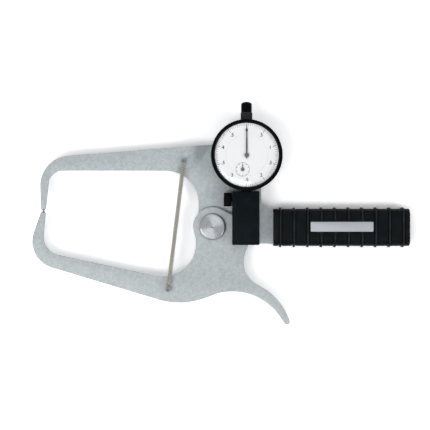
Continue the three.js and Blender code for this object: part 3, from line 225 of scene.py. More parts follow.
def corner_arc(corner, before, after, radius, step):
    half = before.angle(after) / 2
    centre = corner + (before + after).normalized() * (radius / math.sin(half))
    spoke = corner + before * (radius / math.tan(half)) - centre
    turn = math.copysign(math.pi - 2 * half, after.cross(before))
    steps = max(LEAST_ARC_STEPS, math.ceil(abs(turn) / step))
    return [centre + Matrix.Rotation(turn * index / steps, 2) @ spoke for index in range(steps + 1)]


def all_of(bm):
    return bm.verts[:] + bm.edges[:] + bm.faces[:]


def closed(bm):
    """Merges doubles and turns every face outwards."""
    bmesh.ops.remove_doubles(bm, verts=bm.verts, dist=WELD)
    bmesh.ops.recalc_face_normals(bm, faces=bm.faces)
    return bm


def pulled(bm, face, move):
    """Pulls a lone face into a solid and returns its new end's vertices."""
    made = bmesh.ops.extrude_face_region(bm, geom=[face])["geom"]
    ends = [part for part in made if isinstance(part, bmesh.types.BMVert)]
    bmesh.ops.translate(bm, verts=ends, vec=move)
    bmesh.ops.recalc_face_normals(bm, faces=bm.faces)
    return ends


def outline_solid(outline, low, high):
    bm = bmesh.new()
    face = bm.faces.new([bm.verts.new((x, y, low)) for x, y in outline])
    pulled(bm, face, (0, 0, high - low))
    return bm


def rims(bm):
    """Edges between an end face and a side, where ends face up or down."""
    def is_end(face):
        return abs(face.normal.z) > END_FACING
    bm.normal_update()
    return [edge for edge in bm.edges
            if len(edge.link_faces) == 2 and is_end(edge.link_faces[0]) != is_end(edge.link_faces[1])]


def eased(bm, edges, offset, segments=EDGE_STEPS):
    bmesh.ops.bevel(bm, geom=edges, offset=offset, offset_type="OFFSET", segments=segments,
                    profile=0.5, affect="EDGES", clamp_overlap=True, material=-1)
    return bm


def turned(profile, steps):
    """A profile of (radius, height) points spun about Z."""
    bm = bmesh.new()
    verts = [bm.verts.new((radius, 0, height)) for radius, height in profile]
    edges = [bm.edges.new(pair) for pair in zip(verts, verts[1:])]
    bmesh.ops.spin(bm, geom=verts + edges, cent=(0, 0, 0), axis=(0, 0, 1), angle=math.tau,
                   steps=steps, use_merge=True)
    return closed(bm)


def rod(radius, low, high, steps):
    return turned([(0, low), (radius, low), (radius, high), (0, high)], steps)


def ring_profile(inner, outer, low, high):
    """Closed profile of a plain ring."""
    return [(inner, low), (outer, low), (outer, high), (inner, high), (inner, low)]


def block(low, high):
    """A box between two corners."""
    bm = bmesh.new()
    size = Vector(high) - Vector(low)
    matrix = Matrix.Translation((Vector(low) + Vector(high)) / 2) @ Matrix.Diagonal((*size, 1))
    bmesh.ops.create_cube(bm, size=1, matrix=matrix)
    return bm


def placed(bm, position, axis="z"):
    matrix = Matrix.Translation(position) @ TURN_TO[axis]
    bmesh.ops.transform(bm, matrix=matrix, verts=bm.verts)
    return bm


def joined(*parts):
    """Several bmeshes as one, each kept as its own closed shell."""
    whole = bmesh.new()
    for part in parts:
        mesh = bpy.data.meshes.new("part")
        part.to_mesh(mesh)
        part.free()
        whole.from_mesh(mesh)
        bpy.data.meshes.remove(mesh)
    return whole


def piece_from(bm, name, sharp=SHARP):
    """Turns a bmesh into a smooth-shaded object at the origin."""
    for face in bm.faces:
        face.smooth = True
    mesh = bpy.data.meshes.new(name)
    bm.to_mesh(mesh)
    bm.free()
    mesh.set_sharp_from_angle(angle=sharp)
    piece = bpy.data.objects.new(name, mesh)
    bpy.context.scene.collection.objects.link(piece)
    return piece


def curve_solid(curve, place=(0, 0, 0)):
    """A curve or a text as a closed bmesh at a place."""
    holder = bpy.data.objects.new(curve.name, curve)
    bpy.context.scene.collection.objects.link(holder)
    bpy.context.view_layer.update()
    mesh = bpy.data.meshes.new_from_object(holder.evaluated_get(bpy.context.evaluated_depsgraph_get()))
    bpy.data.curves.remove(curve)
    mesh.transform(Matrix.Translation(place))
    bm = bmesh.new()
    bm.from_mesh(mesh)
    bpy.data.meshes.remove(mesh)
    return closed(bm)


def baked(piece):
    """Replaces a piece's mesh by what its modifiers make of it."""
    depsgraph = bpy.context.evaluated_depsgraph_get()
    mesh = bpy.data.meshes.new_from_object(piece.evaluated_get(depsgraph))
    old = piece.data
    piece.modifiers.clear()
    piece.data = mesh
    mesh.name = piece.name
    bpy.data.meshes.remove(old)
    return piece


def carved(piece, *tools, sharp=SHARP, overlapping=False):
    """Cuts the tools, given as bmeshes, out of a piece, whose shells may overlap each other."""
    cutters = [piece_from(tool, f"cutter_{index}") for index, tool in enumerate(tools)]
    for cutter in cutters:
        modifier = piece.modifiers.new(cutter.name, "BOOLEAN")
        modifier.operation = "DIFFERENCE"
        modifier.solver = "EXACT"
        modifier.use_self = overlapping
        modifier.object = cutter
    baked(piece)
    for cutter in cutters:
        bpy.data.meshes.remove(cutter.data)
    if not piece.data.polygons:
        raise RuntimeError(f"nothing is left of {piece.name} after its cuts")
    piece.data.shade_smooth()
    piece.data.set_sharp_from_angle(angle=sharp)
    return piece


def fluted(radius, depth, flutes, low, high, chamfer):
    """A knurled head about Z: soft straight grooves with both ends chamfered."""
    bm = bmesh.new()
    made = bmesh.ops.create_circle(bm, cap_ends=True, radius=radius, segments=len(FLUTE_SHARES) * flutes)
    for index, vert in enumerate(made["verts"]):
        vert.co *= 1 - depth * FLUTE_SHARES[index % len(FLUTE_SHARES)] / radius
    bmesh.ops.translate(bm, verts=bm.verts, vec=(0, 0, low))
    pulled(bm, bm.faces[:][0], (0, 0, high - low))
    return eased(bm, rims(bm), chamfer, 2)


def finished(piece, look, body, slot, *nodes):
    """Gives a piece its material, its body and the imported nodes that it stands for."""
    piece.data.materials.clear()
    piece.data.materials.append(material(look))
    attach(piece, body)
    if nodes:
        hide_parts(*nodes)
    return piece


# Node helpers

def node_in(tree, kind, inputs=(), **settings):
    """Adds a node; each input is a name or number with a value or the socket that feeds it."""
    node = tree.nodes.new(kind)
    for name, value in settings.items():
        setattr(node, name, value)
    for name, value in dict(inputs).items():
        if isinstance(value, bpy.types.NodeSocket):
            tree.links.new(value, node.inputs[name])
        else:
            node.inputs[name].default_value = value
    return node


def group_tree(name, inputs, outputs):
    """An empty group with float inputs and outputs and one vector input."""
    tree = bpy.data.node_groups.new(name, "ShaderNodeTree")
    tree.interface.new_socket(name="Vector", in_out="INPUT", socket_type="NodeSocketVector")
    for label in inputs:
        tree.interface.new_socket(name=label, in_out="INPUT", socket_type="NodeSocketFloat")
    for label in outputs:
        tree.interface.new_socket(name=label, in_out="OUTPUT", socket_type="NodeSocketFloat")
    return tree, tree.nodes.new("NodeGroupInput").outputs, tree.nodes.new("NodeGroupOutput").inputs


def math_in(tree, operation, first, second=0.0):
    return node_in(tree, "ShaderNodeMath", {0: first, 1: second}, operation=operation).outputs[0]


def ranged(tree, value, source=(0.0, 1.0), target=(0.0, 1.0), **settings):
    """A value taken from one range to another."""
    limits = dict(zip(("From Min", "From Max", "To Min", "To Max"), (*source, *target)))
    return node_in(tree, "ShaderNodeMapRange", {"Value": value, **limits}, **settings).outputs["Result"]


def mottle_group():
    """Soft patches and a finer grain, both from 0 to 1."""
    tree, given, results = group_tree("Mottle", ("Patch size", "Grain size"), ("Patches", "Grain"))
    for size, result, detail in (("Patch size", "Patches", 3.0), ("Grain size", "Grain", 2.0)):
        scale = math_in(tree, "DIVIDE", 1.0, given[size])
        noise = node_in(tree, "ShaderNodeTexNoise",
                        {"Vector": given["Vector"], "Scale": scale, "Detail": detail, "Roughness": 0.55})
        tree.links.new(ranged(tree, noise.outputs["Fac"], NOISE_SPREAD), results[result])
    return tree


def rings_group():
    """Uneven turning marks about Z: their height and a broader tone."""
    tree, given, results = group_tree("Turned rings", ("Pitch",), ("Marks", "Tone"))
    flat = node_in(tree, "ShaderNodeVectorMath", {0: given["Vector"], 1: IN_PLANE}, operation="MULTIPLY")
    radius = node_in(tree, "ShaderNodeVectorMath", {0: flat.outputs[0]}, operation="LENGTH").outputs["Value"]
    along = math_in(tree, "DIVIDE", radius, given["Pitch"])
    marks = node_in(tree, "ShaderNodeTexNoise", {"W": along, "Scale": 1.0, "Detail": 2.0},
                    noise_dimensions="1D")
    tone = node_in(tree, "ShaderNodeTexNoise", {"W": along, "Scale": 0.12, "Detail": 1.0},
                   noise_dimensions="1D")
    tree.links.new(marks.outputs["Fac"], results["Marks"])
    tree.links.new(tone.outputs["Fac"], results["Tone"])
    return tree


def brushed_group():
    """Fine lines along X."""
    tree, given, results = group_tree("Brushed lines", ("Line length", "Line width"), ("Lines",))
    along = math_in(tree, "DIVIDE", 1.0, given["Line length"])
    across = math_in(tree, "DIVIDE", 1.0, given["Line width"])
    scale = node_in(tree, "ShaderNodeCombineXYZ", {"X": along, "Y": across, "Z": across})
    stretched = node_in(tree, "ShaderNodeVectorMath", {0: given["Vector"], 1: scale.outputs[0]},
                        operation="MULTIPLY")
    noise = node_in(tree, "ShaderNodeTexNoise",
                    {"Vector": stretched.outputs[0], "Scale": 1.0, "Detail": 3.0, "Roughness": 0.6})
    tree.links.new(noise.outputs["Fac"], results["Lines"])
    return tree


GROUPS = {"Mottle": mottle_group, "Turned rings": rings_group, "Brushed lines": brushed_group}


def placed_group(tree, name, inputs):
    """Puts a shared group in a material, making the group on its first use."""
    group = bpy.data.node_groups.get(name) or GROUPS[name]()
    return node_in(tree, "ShaderNodeGroup", inputs, node_tree=group).outputs


def new_material(name, **constants):
    """A material with a Principled shader whose plain values are set on its own sockets."""
    made = bpy.data.materials.new(name)
    made.use_nodes = True
    tree = made.node_tree
    tree.nodes.clear()
    shader = tree.nodes.new("ShaderNodeBsdfPrincipled")
    output = tree.nodes.new("ShaderNodeOutputMaterial")
    tree.links.new(shader.outputs[0], output.inputs["Surface"])
    for label, value in constants.items():
        shader.inputs[label.replace("_", " ").title().replace("Ior", "IOR")].default_value = value
    return made, tree, shader


def object_place(tree, centre=(0, 0, 0), turn=(0, 0, 0)):
    """Object coordinates, moved so that the centre given is their origin."""
    source = tree.nodes.new("ShaderNodeTexCoord").outputs["Object"]
    if not any(centre) and not any(turn):
        return source
    moved = node_in(tree, "ShaderNodeVectorMath", {0: source, 1: tuple(-value for value in centre)},
                    operation="ADD").outputs[0]
    if not any(turn):
        return moved
    return node_in(tree, "ShaderNodeVectorRotate", {"Vector": moved, "Rotation": turn},
                   rotation_type="EULER_XYZ").outputs[0]


def tinted(tree, shader, colour, mask, tint):
    """Varies a base colour between two brightness shares by a mask."""
    shades = [tuple(min(1.0, part * share) for part in colour[:3]) + (1.0,) for share in tint]
    mix = node_in(tree, "ShaderNodeMix", dict(zip((0, *MIX_COLOURS), (mask, *shades))), data_type="RGBA")
    tree.links.new(mix.outputs[MIX_RESULT], shader.inputs["Base Color"])


def roughened(tree, shader, mask, rough):
    tree.links.new(ranged(tree, mask, target=rough), shader.inputs["Roughness"])


def bumped(tree, shader, height, depth, strength):
    bump = node_in(tree, "ShaderNodeBump", {"Height": height, "Distance": depth * MM, "Strength": strength})
    tree.links.new(bump.outputs["Normal"], shader.inputs["Normal"])


def mixed(tree, share, first, second):
    """Two shaders mixed by a share."""
    return node_in(tree, "ShaderNodeMixShader", {0: share, 1: first.outputs[0], 2: second.outputs[0]})


def surfaced(tree, shown):
    """Puts a shader on the material's surface."""
    tree.links.new(shown.outputs[0], tree.nodes["Material Output"].inputs["Surface"])


# Finishes, with grain sizes and bump depths in millimetres and each range as its least and most

def mottled(tree, patch, grain):
    """The shared mottling in object space."""
    return placed_group(tree, "Mottle", {"Vector": object_place(tree), "Patch size": patch * MM,
                                         "Grain size": grain * MM})


def grained(name, colour, patch, grain, tint, rough, depth, strength, **constants):
    """A finish with soft patches of tone, whose roughness and surface follow a fine grain."""
    made, tree, shader = new_material(name, **constants)
    mottle = mottled(tree, patch, grain)
    tinted(tree, shader, colour, mottle["Patches"], tint)
    roughened(tree, shader, mottle["Grain"], rough)
    bumped(tree, shader, mottle["Grain"], depth, strength)
    return made


def hammered_enamel(name, colour):
    """Grey enamel with soft mottling and a fine uneven surface."""
    made, tree, shader = new_material(name, metallic=0.15, specular_ior_level=0.35)
    mottle = mottled(tree, patch=2.2, grain=0.75)
    halves = [math_in(tree, "MULTIPLY", mottle[part], 0.5) for part in ("Patches", "Grain")]
    both = math_in(tree, "ADD", *halves)
    tinted(tree, shader, colour, both, (0.72, 1.17))
    roughened(tree, shader, mottle["Grain"], (0.42, 0.56))
    bumped(tree, shader, both, depth=0.1, strength=0.7)
    return made


def turned_metal(name, colour, centre, axis="z", pitch=0.35, rough=(0.2, 0.34), depth=0.03, streak=0.0):
    """Metal with turning marks about its own axis, whose highlights may fan out from the centre."""
    made, tree, shader = new_material(name, metallic=1.0, anisotropic=streak)
    place = object_place(tree, centre, AXIS_TURNS[axis])
    rings = placed_group(tree, "Turned rings", {"Vector": place, "Pitch": pitch * MM})
    if streak:
        outwards = node_in(tree, "ShaderNodeVectorMath", {0: place, 1: IN_PLANE}, operation="MULTIPLY")
        outwards = node_in(tree, "ShaderNodeVectorMath", {0: outwards.outputs[0]}, operation="NORMALIZE")
        tree.links.new(outwards.outputs[0], shader.inputs["Tangent"])
    tinted(tree, shader, colour, rings["Tone"], (0.78, 1.12))
    roughened(tree, shader, rings["Marks"], rough)
    bumped(tree, shader, rings["Marks"], depth, strength=0.9)
    return made


def drawn_metal(name, colour, rough=(0.25, 0.4), metallic=1.0):
    """Plain worked metal with faint tarnish and grain."""
    return grained(name, colour, patch=2.4, grain=0.35, tint=(0.86, 1.08), rough=rough, depth=0.015,
                   strength=0.5, metallic=metallic)


def black_finish(name, colour, rough, grain, depth, specular):
    """Black paint or plastic with a fine grain, smooth where the grain is low."""
    return grained(name, colour, patch=9.0, grain=grain, tint=(0.65, 1.45), rough=rough, depth=depth,
                   strength=0.6, specular_ior_level=specular)


def brushed_plate(name, colour):
    """Bare metal with fine lines along X."""
    made, tree, shader = new_material(name, metallic=0.4)
    lines = placed_group(tree, "Brushed lines", {"Vector": object_place(tree),
                                                 "Line length": 9 * MM, "Line width": 0.12 * MM})
    tinted(tree, shader, colour, lines["Lines"], (0.84, 1.12))
    roughened(tree, shader, lines["Lines"], (0.42, 0.6))
    bumped(tree, shader, lines["Lines"], depth=0.02, strength=0.5)
    return made


def dial_enamel(name, colour):
    """White dial face with a barely visible unevenness."""
    return grained(name, colour, patch=6.0, grain=0.25, tint=(0.985, 1.0), rough=(0.5, 0.62), depth=0.004,
                   strength=0.4, specular_ior_level=0.3)


def clear_crystal(name, colour):
    """Clear crystal that lets light through to the dial."""
    made, tree, shader = new_material(name, transmission_weight=1.0, ior=1.46, roughness=0.0)
    shader.inputs["Base Color"].default_value = colour
    path = tree.nodes.new("ShaderNodeLightPath").outputs
    passing = math_in(tree, "MAXIMUM", path["Is Shadow Ray"], path["Is Diffuse Ray"])
    open_air = tree.nodes.new("ShaderNodeBsdfTransparent")
    surfaced(tree, mixed(tree, passing, shader, open_air))
    return made


def pale_floor(name, colour):
    """Pale matt floor that is seen as white with the object's shadow kept, and as plain white far off."""
    made, tree, shader = new_material(name, specular_ior_level=0.0, roughness=1.0)
    shader.inputs["Base Color"].default_value = colour
    path = tree.nodes.new("ShaderNodeLightPath").outputs
    seen = math_in(tree, "MAXIMUM", path["Is Camera Ray"], path["Is Glossy Ray"])
    seen = math_in(tree, "MAXIMUM", seen, path["Is Transmission Ray"])
    shown = tuple(FLOOR_GAIN * part for part in colour[:3]) + (1.0,)
    near = node_in(tree, "ShaderNodeBsdfDiffuse", {"Color": shown})
    away = node_in(tree, "ShaderNodeVectorMath", {0: object_place(tree)}, operation="LENGTH")
    distance = ranged(tree, away.outputs["Value"], FLOOR_FADE, interpolation_type="SMOOTHSTEP")
    far = node_in(tree, "ShaderNodeEmission", {"Color": WHITE, "Strength": 1.0})
    surfaced(tree, mixed(tree, seen, shader, mixed(tree, distance, near, far)))
    return made


# Maker, colour and settings of each finish
LOOKS = {
    "frame_enamel": (hammered_enamel, "frame_enamel", {}),
    "jaw_enamel": (hammered_enamel, "jaw_enamel", {}),
    "pivot_steel": (turned_metal, "pivot_steel",
                    {"centre": PIVOT, "pitch": 0.9, "rough": (0.22, 0.38), "depth": 0.05, "streak": 0.85}),
    "plunger_steel": (turned_metal, "steel", {"centre": STEM, "axis": "y"}),
    "bezel_slope": (turned_metal, "slope_grey", {"centre": DIAL, "pitch": 0.25, "rough": (0.3, 0.42)}),
    "worked_steel": (drawn_metal, "steel", {}),
    "spring_wire": (drawn_metal, "spring_steel", {"rough": (0.3, 0.45), "metallic": 0.25}),
    "post_steel": (drawn_metal, "post_steel", {"rough": (0.4, 0.55), "metallic": 0.8}),
    "hard_metal": (drawn_metal, "hard_metal", {"rough": (0.3, 0.45)}),
    "brass": (drawn_metal, "brass", {"rough": (0.35, 0.5)}),
    "hub_grey": (drawn_metal, "hub_grey", {"rough": (0.4, 0.55), "metallic": 0.5}),
    "housing_black": (black_finish, "housing_black",
                      {"rough": (0.3, 0.44), "grain": 0.5, "depth": 0.05, "specular": 0.03}),
    "knurl_black": (black_finish, "gloss_black",
                    {"rough": (0.22, 0.36), "grain": 0.4, "depth": 0.02, "specular": 0.05}),
    "bezel_gloss": (black_finish, "gloss_black",
                    {"rough": (0.16, 0.24), "grain": 0.5, "depth": 0.004, "specular": 0.03}),
    "collar_black": (black_finish, "housing_black",
                     {"rough": (0.2, 0.32), "grain": 0.4, "depth": 0.02, "specular": 0.28}),
    "cap_gloss": (black_finish, "gloss_black",
                  {"rough": (0.12, 0.2), "grain": 0.5, "depth": 0.004, "specular": 0.04}),
    "grip_plastic": (black_finish, "grip_black",
                     {"rough": (0.3, 0.44), "grain": 0.45, "depth": 0.06, "specular": 0.05}),
    # Rib crests: the grip's black plastic with a painted highlight
    "grip_crest": (black_finish, "crest_highlight_black",
                   {"rough": (0.3, 0.44), "grain": 0.45, "depth": 0.04, "specular": 0.05}),
    "ink": (black_finish, "ink", {"rough": (0.55, 0.7), "grain": 0.3, "depth": 0.002, "specular": 0.1}),
    "hand_black": (black_finish, "hand_black",
                   {"rough": (0.4, 0.55), "grain": 0.3, "depth": 0.005, "specular": 0.05}),
    "label_metal": (brushed_plate, "label_metal", {}),
    "dial_white": (dial_enamel, "dial_white", {}),
    "crystal_clear": (clear_crystal, "crystal", {}),
    "floor": (pale_floor, "floor", {}),
}


def material(name):
    """The finish of this name, made on its first use."""
    if name in bpy.data.materials:
        return bpy.data.materials[name]
    maker, colour, settings = LOOKS[name]
    return maker(name, getattr(bpy.context.scene.gauge_colours, colour), **settings)


# Placing and cutting

def above(place, height=0.0):
    """The point at a height over a place in the plan."""
    return (place.x, place.y, height)


def round_cut(radius, low, high, place, axis="z", steps=HOLE_STEPS):
    """A round cutter along an axis through a place."""
    return placed(rod(radius, low, high, steps), place, axis)


def offsets(radius, level, table):
    """Profile points given in millimetres outwards from a radius and up from a level."""
    return [(radius + outwards * MM, level + upwards * MM) for outwards, upwards in table]


def box_outline(low, high, radius, step):
    """Outline of a box in the plan, with its corners rounded."""
    corners = ((low.x, low.y), (high.x, low.y), (high.x, high.y), (low.x, high.y))
    return rounded_outline([(x, y, radius) for x, y in corners], step)


# Plates, with the radius in millimetres of the hole about each node
FRAME_HOLES = {"pivot_stud": 4.2, "upper_spring_post": 1.4, "housing_screw_1": 1.7, "housing_screw_2": 1.7}
JAW_HOLES = {"pivot_stud": 6.1, "lift_pin": 2.6, "lower_spring_post": 1.3}
JOGGLE_FROM = 38.4 * MM
JOGGLE_RUN = 9.6 * MM
JOGGLE_TURN = math.radians(145)
BEND_SHARES = (-1, -0.6, -0.2, 0.2, 0.6, 1)


def plate_blank(corners, low, sizes):
    """A plate with softened edges whose outline corners are given about the pivot."""
    outline = [(PIVOT.x + x * MM, PIVOT.y + y * MM) for x, y in rounded_outline(corners, sizes.arc_step)]
    bm = outline_solid(outline, low, low + PLATE)
    return eased(bm, rims(bm), sizes.plate_edge)


def drilled(piece, holes, steps):
    """Cuts a table of holes through a plate."""
    cuts = [round_cut(radius * MM, 0, 2 * JAW_HIGH, above(middle(node)), steps=steps)
            for node, radius in holes.items()]
    return carved(piece, *cuts, sharp=PLATE_SHARP)


def joggle_rise(distance, bend):
    """Share of the joggle's rise at a distance from the pivot, with a soft bend at each end."""
    start, end = JOGGLE_FROM, JOGGLE_FROM + JOGGLE_RUN
    slope = 1 / JOGGLE_RUN
    if distance <= start - bend or distance >= end + bend:
        return 0.0 if distance < end else 1.0
    if distance < start + bend:
        return slope * (distance - start + bend) ** 2 / (4 * bend)
    if distance > end - bend:
        return 1 - slope * (end + bend - distance) ** 2 / (4 * bend)
    return slope * (distance - start)


def joggled(bm, bend):
    """Lifts the upper arm by the joggle, across bands where the plate bends."""
    normal = Vector((math.cos(JOGGLE_TURN), math.sin(JOGGLE_TURN), 0))
    base = PIVOT.dot(normal)
    for line in (JOGGLE_FROM, JOGGLE_FROM + JOGGLE_RUN):
        for share in BEND_SHARES:
            cut = normal * (base + line + share * bend)
            bmesh.ops.bisect_plane(bm, geom=all_of(bm), dist=WELD, plane_co=cut, plane_no=normal)
    for vert in bm.verts:
        vert.co.z += (JAW_LOW - PLATE_LOW) * joggle_rise(vert.co.dot(normal) - base, bend)
    return bm


class GAUGE_OT_frame_plate(bpy.types.Operator):
    """Fixed jaw frame with its joggled upper arm"""
    bl_idname = "gauge.frame_plate"
    bl_label = "Frame plate"

    def execute(self, context):
        sizes = context.scene.gauge_sizes
        bm = joggled(plate_blank(FRAME_CORNERS, PLATE_LOW, sizes), sizes.joggle_bend)
        piece = drilled(piece_from(bm, "frame_plate_finish", PLATE_SHARP), FRAME_HOLES, HOLE_STEPS)
        finished(piece, "frame_enamel", "frame", "frame_paint", "frame_plate")
        return {"FINISHED"}


class GAUGE_OT_swinging_jaw(bpy.types.Operator):
    """Swinging jaw with its finger lever"""
    bl_idname = "gauge.swinging_jaw"
    bl_label = "Swinging jaw"

    def execute(self, context):
        bm = plate_blank(JAW_CORNERS, JAW_LOW, context.scene.gauge_sizes)
        piece = drilled(piece_from(bm, "lower_jaw_finish", PLATE_SHARP), JAW_HOLES, JAW_HOLE_STEPS)
        finished(piece, "jaw_enamel", "swing_jaw", "jaw_paint", "lower_jaw")
        return {"FINISHED"}


# Pivot, whose rim shares go inwards from the head's side and down from its face
PIVOT_HEAD = 3.5 * MM
PIVOT_RIM = 1.2 * MM
PIVOT_RIM_SHARES = ((0, 1), (0.5, 0.35), (1, 0.1), (1.3, 0), (1.4, 0))
PIVOT_SHANK = 4 * MM
PIVOT_SHANK_END = ((-0.4, 0), (0, 0.4))
PIVOT_HEAD_BACK = ((-0.2, 0), (0, 0.2))
PIVOT_CENTRE = ((1.5, 0), (1.3, 0), (1.1, -0.05), (0.7, -0.5), (0, -0.9))
NUT_BORE = 4.1 * MM
NUT_SIDES = 6
NUT_EDGE = 0.5 * MM


class GAUGE_OT_pivot(bpy.types.Operator):
    """Pivot stud with its turned head, and the nut behind"""
    bl_idname = "gauge.pivot"
    bl_label = "Pivot"

    def execute(self, context):
        low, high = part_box("pivot_stud")
        radius = (high.x - low.x) / 2
        back = high.z - PIVOT_HEAD
        profile = [(0, low.z), *offsets(PIVOT_SHANK, low.z, PIVOT_SHANK_END), (PIVOT_SHANK, back)]
        profile += offsets(radius, back, PIVOT_HEAD_BACK)
        profile += [(radius - inwards * PIVOT_RIM, high.z - down * PIVOT_RIM)
                    for inwards, down in PIVOT_RIM_SHARES]
        profile += offsets(0, high.z, PIVOT_CENTRE)
        bm = placed(turned(profile, context.scene.gauge_sizes.round_steps), above(PIVOT))
        finished(piece_from(bm, "pivot_stud_finish"), "pivot_steel", "frame", "steel", "pivot_stud")
        self.nut()
        return {"FINISHED"}

    def nut(self):
        low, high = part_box("pivot_nut")
        bm = bmesh.new()
        bmesh.ops.create_circle(bm, cap_ends=True, radius=(high.x - low.x) / 2, segments=NUT_SIDES)
        pulled(bm, bm.faces[:][0], (0, 0, high.z - low.z))
        eased(bm, rims(bm), NUT_EDGE, 2)
        placed(bm, above(PIVOT, low.z))
        bore = round_cut(NUT_BORE, 0, 2 * high.z, above(PIVOT), steps=FINE_STEPS)
        nut = carved(piece_from(bm, "pivot_nut_finish"), bore)
        finished(nut, "worked_steel", "frame", "steel", "pivot_nut")


# Spring and its posts, whose profiles go outwards from a post's own radius or its waist
POST_WAIST = 1.2 * MM
POST_BASE = 2.0 * MM
POST_HEAD = 1.0 * MM
POST_BASE_TOP = ((0, -0.4), (-0.4, 0))
POST_FILLET = 0.2 * MM
POST_HEAD_SIDE = ((-0.5, 0), (-0.3, 0.2))
POST_HEAD_TOP = ((-0.3, -0.4), (-0.6, 0))
POST_BORE = ((1.05, 0), (0.95, -0.1), (0.95, -2.6), (0, -2.9))
SPRING_RADIUS = 1.95 * MM
SPRING_LEAD = 3.4 * MM
HOOK_GAP = 0.15 * MM
HOOK_SWEEP = 285
HOOK_END = -90
HOOK_STEPS = 16
CURL_STEPS = 12


class GAUGE_OT_spring_posts(bpy.types.Operator):
    """The two posts that hold the tension spring"""
    bl_idname = "gauge.spring_posts"
    bl_label = "Spring posts"

    def execute(self, context):
        for node, body in (("upper_spring_post", "frame"), ("lower_spring_post", "swing_jaw")):
            low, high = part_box(node)
            wide = (high.x - low.x) / 2
            neck, base = high.z - POST_HEAD, JAW_HIGH + POST_BASE
            profile = [(0, low.z), (POST_WAIST, low.z), (POST_WAIST, JAW_HIGH), (wide, JAW_HIGH)]
            profile += [*offsets(wide, base, POST_BASE_TOP), (POST_WAIST + POST_FILLET, base),
                        (POST_WAIST, base + POST_FILLET), (POST_WAIST, neck - POST_FILLET)]
            profile += offsets(wide, neck, POST_HEAD_SIDE) + offsets(wide, high.z, POST_HEAD_TOP)
            profile += offsets(0, high.z, POST_BORE)
            bm = placed(turned(profile, context.scene.gauge_sizes.small_steps), above(middle(node)))
            finished(piece_from(bm, f"{node}_finish"), "post_steel", body, "steel", node)
        return {"FINISHED"}


def spring_route(sizes, start, end):
    """Points of the spring wire: a hook about each post and close curls between them."""
    along = (end - start).normalized()
    up = Vector((0, 0, 1))
    across = up.cross(along)
    length = (end - start).length
    hook_radius = POST_WAIST + sizes.spring_wire + HOOK_GAP
    coil_radius = SPRING_RADIUS - sizes.spring_wire
    curls = math.floor((length - 2 * SPRING_LEAD) / sizes.spring_pitch)
    lead = (length - curls * sizes.spring_pitch) / 2

    def at(distance, side, height=0.0):
        return start + along * distance + across * side + up * height

    hook = []
    for step in range(HOOK_STEPS + 1):
        angle = math.radians(HOOK_END + HOOK_SWEEP - HOOK_SWEEP * step / HOOK_STEPS)
        hook.append((hook_radius * math.cos(angle), hook_radius * math.sin(angle)))
    coil = []
    for step in range(curls * CURL_STEPS + 1):
        turn = math.tau * step / CURL_STEPS
        distance = lead + sizes.spring_pitch * step / CURL_STEPS
        coil.append(at(distance, -coil_radius * math.cos(turn), coil_radius * math.sin(turn)))
    return [at(x, y) for x, y in hook] + coil + [at(length - x, y) for x, y in reversed(hook)]


class GAUGE_OT_spring(bpy.types.Operator):
    """Tension spring between the two posts"""
    bl_idname = "gauge.spring"
    bl_label = "Tension spring"

    def execute(self, context):
        sizes = context.scene.gauge_sizes
        height = middle("tension_spring").z
        start, end = [Vector(above(middle(node), height))
                      for node in ("upper_spring_post", "lower_spring_post")]
        route = spring_route(sizes, start, end)
        curve = bpy.data.curves.new("spring_route", "CURVE")
        curve.dimensions = "3D"
        curve.bevel_depth = sizes.spring_wire
        curve.bevel_resolution = 2
        curve.use_fill_caps = True
        spline = curve.splines.new("POLY")
        spline.points.add(len(route) - 1)
        for point, place in zip(spline.points, route):
            point.co = (*place, 1)
        piece = piece_from(curve_solid(curve), "tension_spring_finish", WIRE_SHARP)
        piece.data.materials.append(material("spring_wire"))
        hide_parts("tension_spring")
        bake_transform(piece)
        return {"FINISHED"}


# Housing and its clamp screw
HOUSING_CORNER = 0.8 * MM
HOUSING_EDGE = 0.6 * MM
HOUSING_RIGHT_WALL = 2.5 * MM
HOUSING_TOP_BLOCK = 11 * MM
HOUSING_FRONT_WALL = 3.4 * MM
JAW_CLEARANCE = 0.4 * MM
CAVITY_HALF = 5.5 * MM
CAVITY_UNDER = 6 * MM
CAVITY_OVER = 12.2 * MM
STEM_BORE = 4.1 * MM
STEM_BORE_FROM = 11.2 * MM
STEM_BORE_DEPTH = 20 * MM
CLAMP_BORE = 2.1 * MM
CLAMP_BORE_DEPTH = 12 * MM
HOUSING_SCREW_BORE = 1.6 * MM
HOUSING_SCREW_DEPTH = 5.2 * MM
CLAMP_HEAD = 6.4 * MM
CLAMP_CHAMFER = 0.55 * MM
CLAMP_SHANK = 2 * MM
CLAMP_SHANK_FROM = 3 * MM
CLAMP_DIMPLE = ((0, -0.2), (3.4, -0.2), (3.2, 0.3), (0, 0.3))


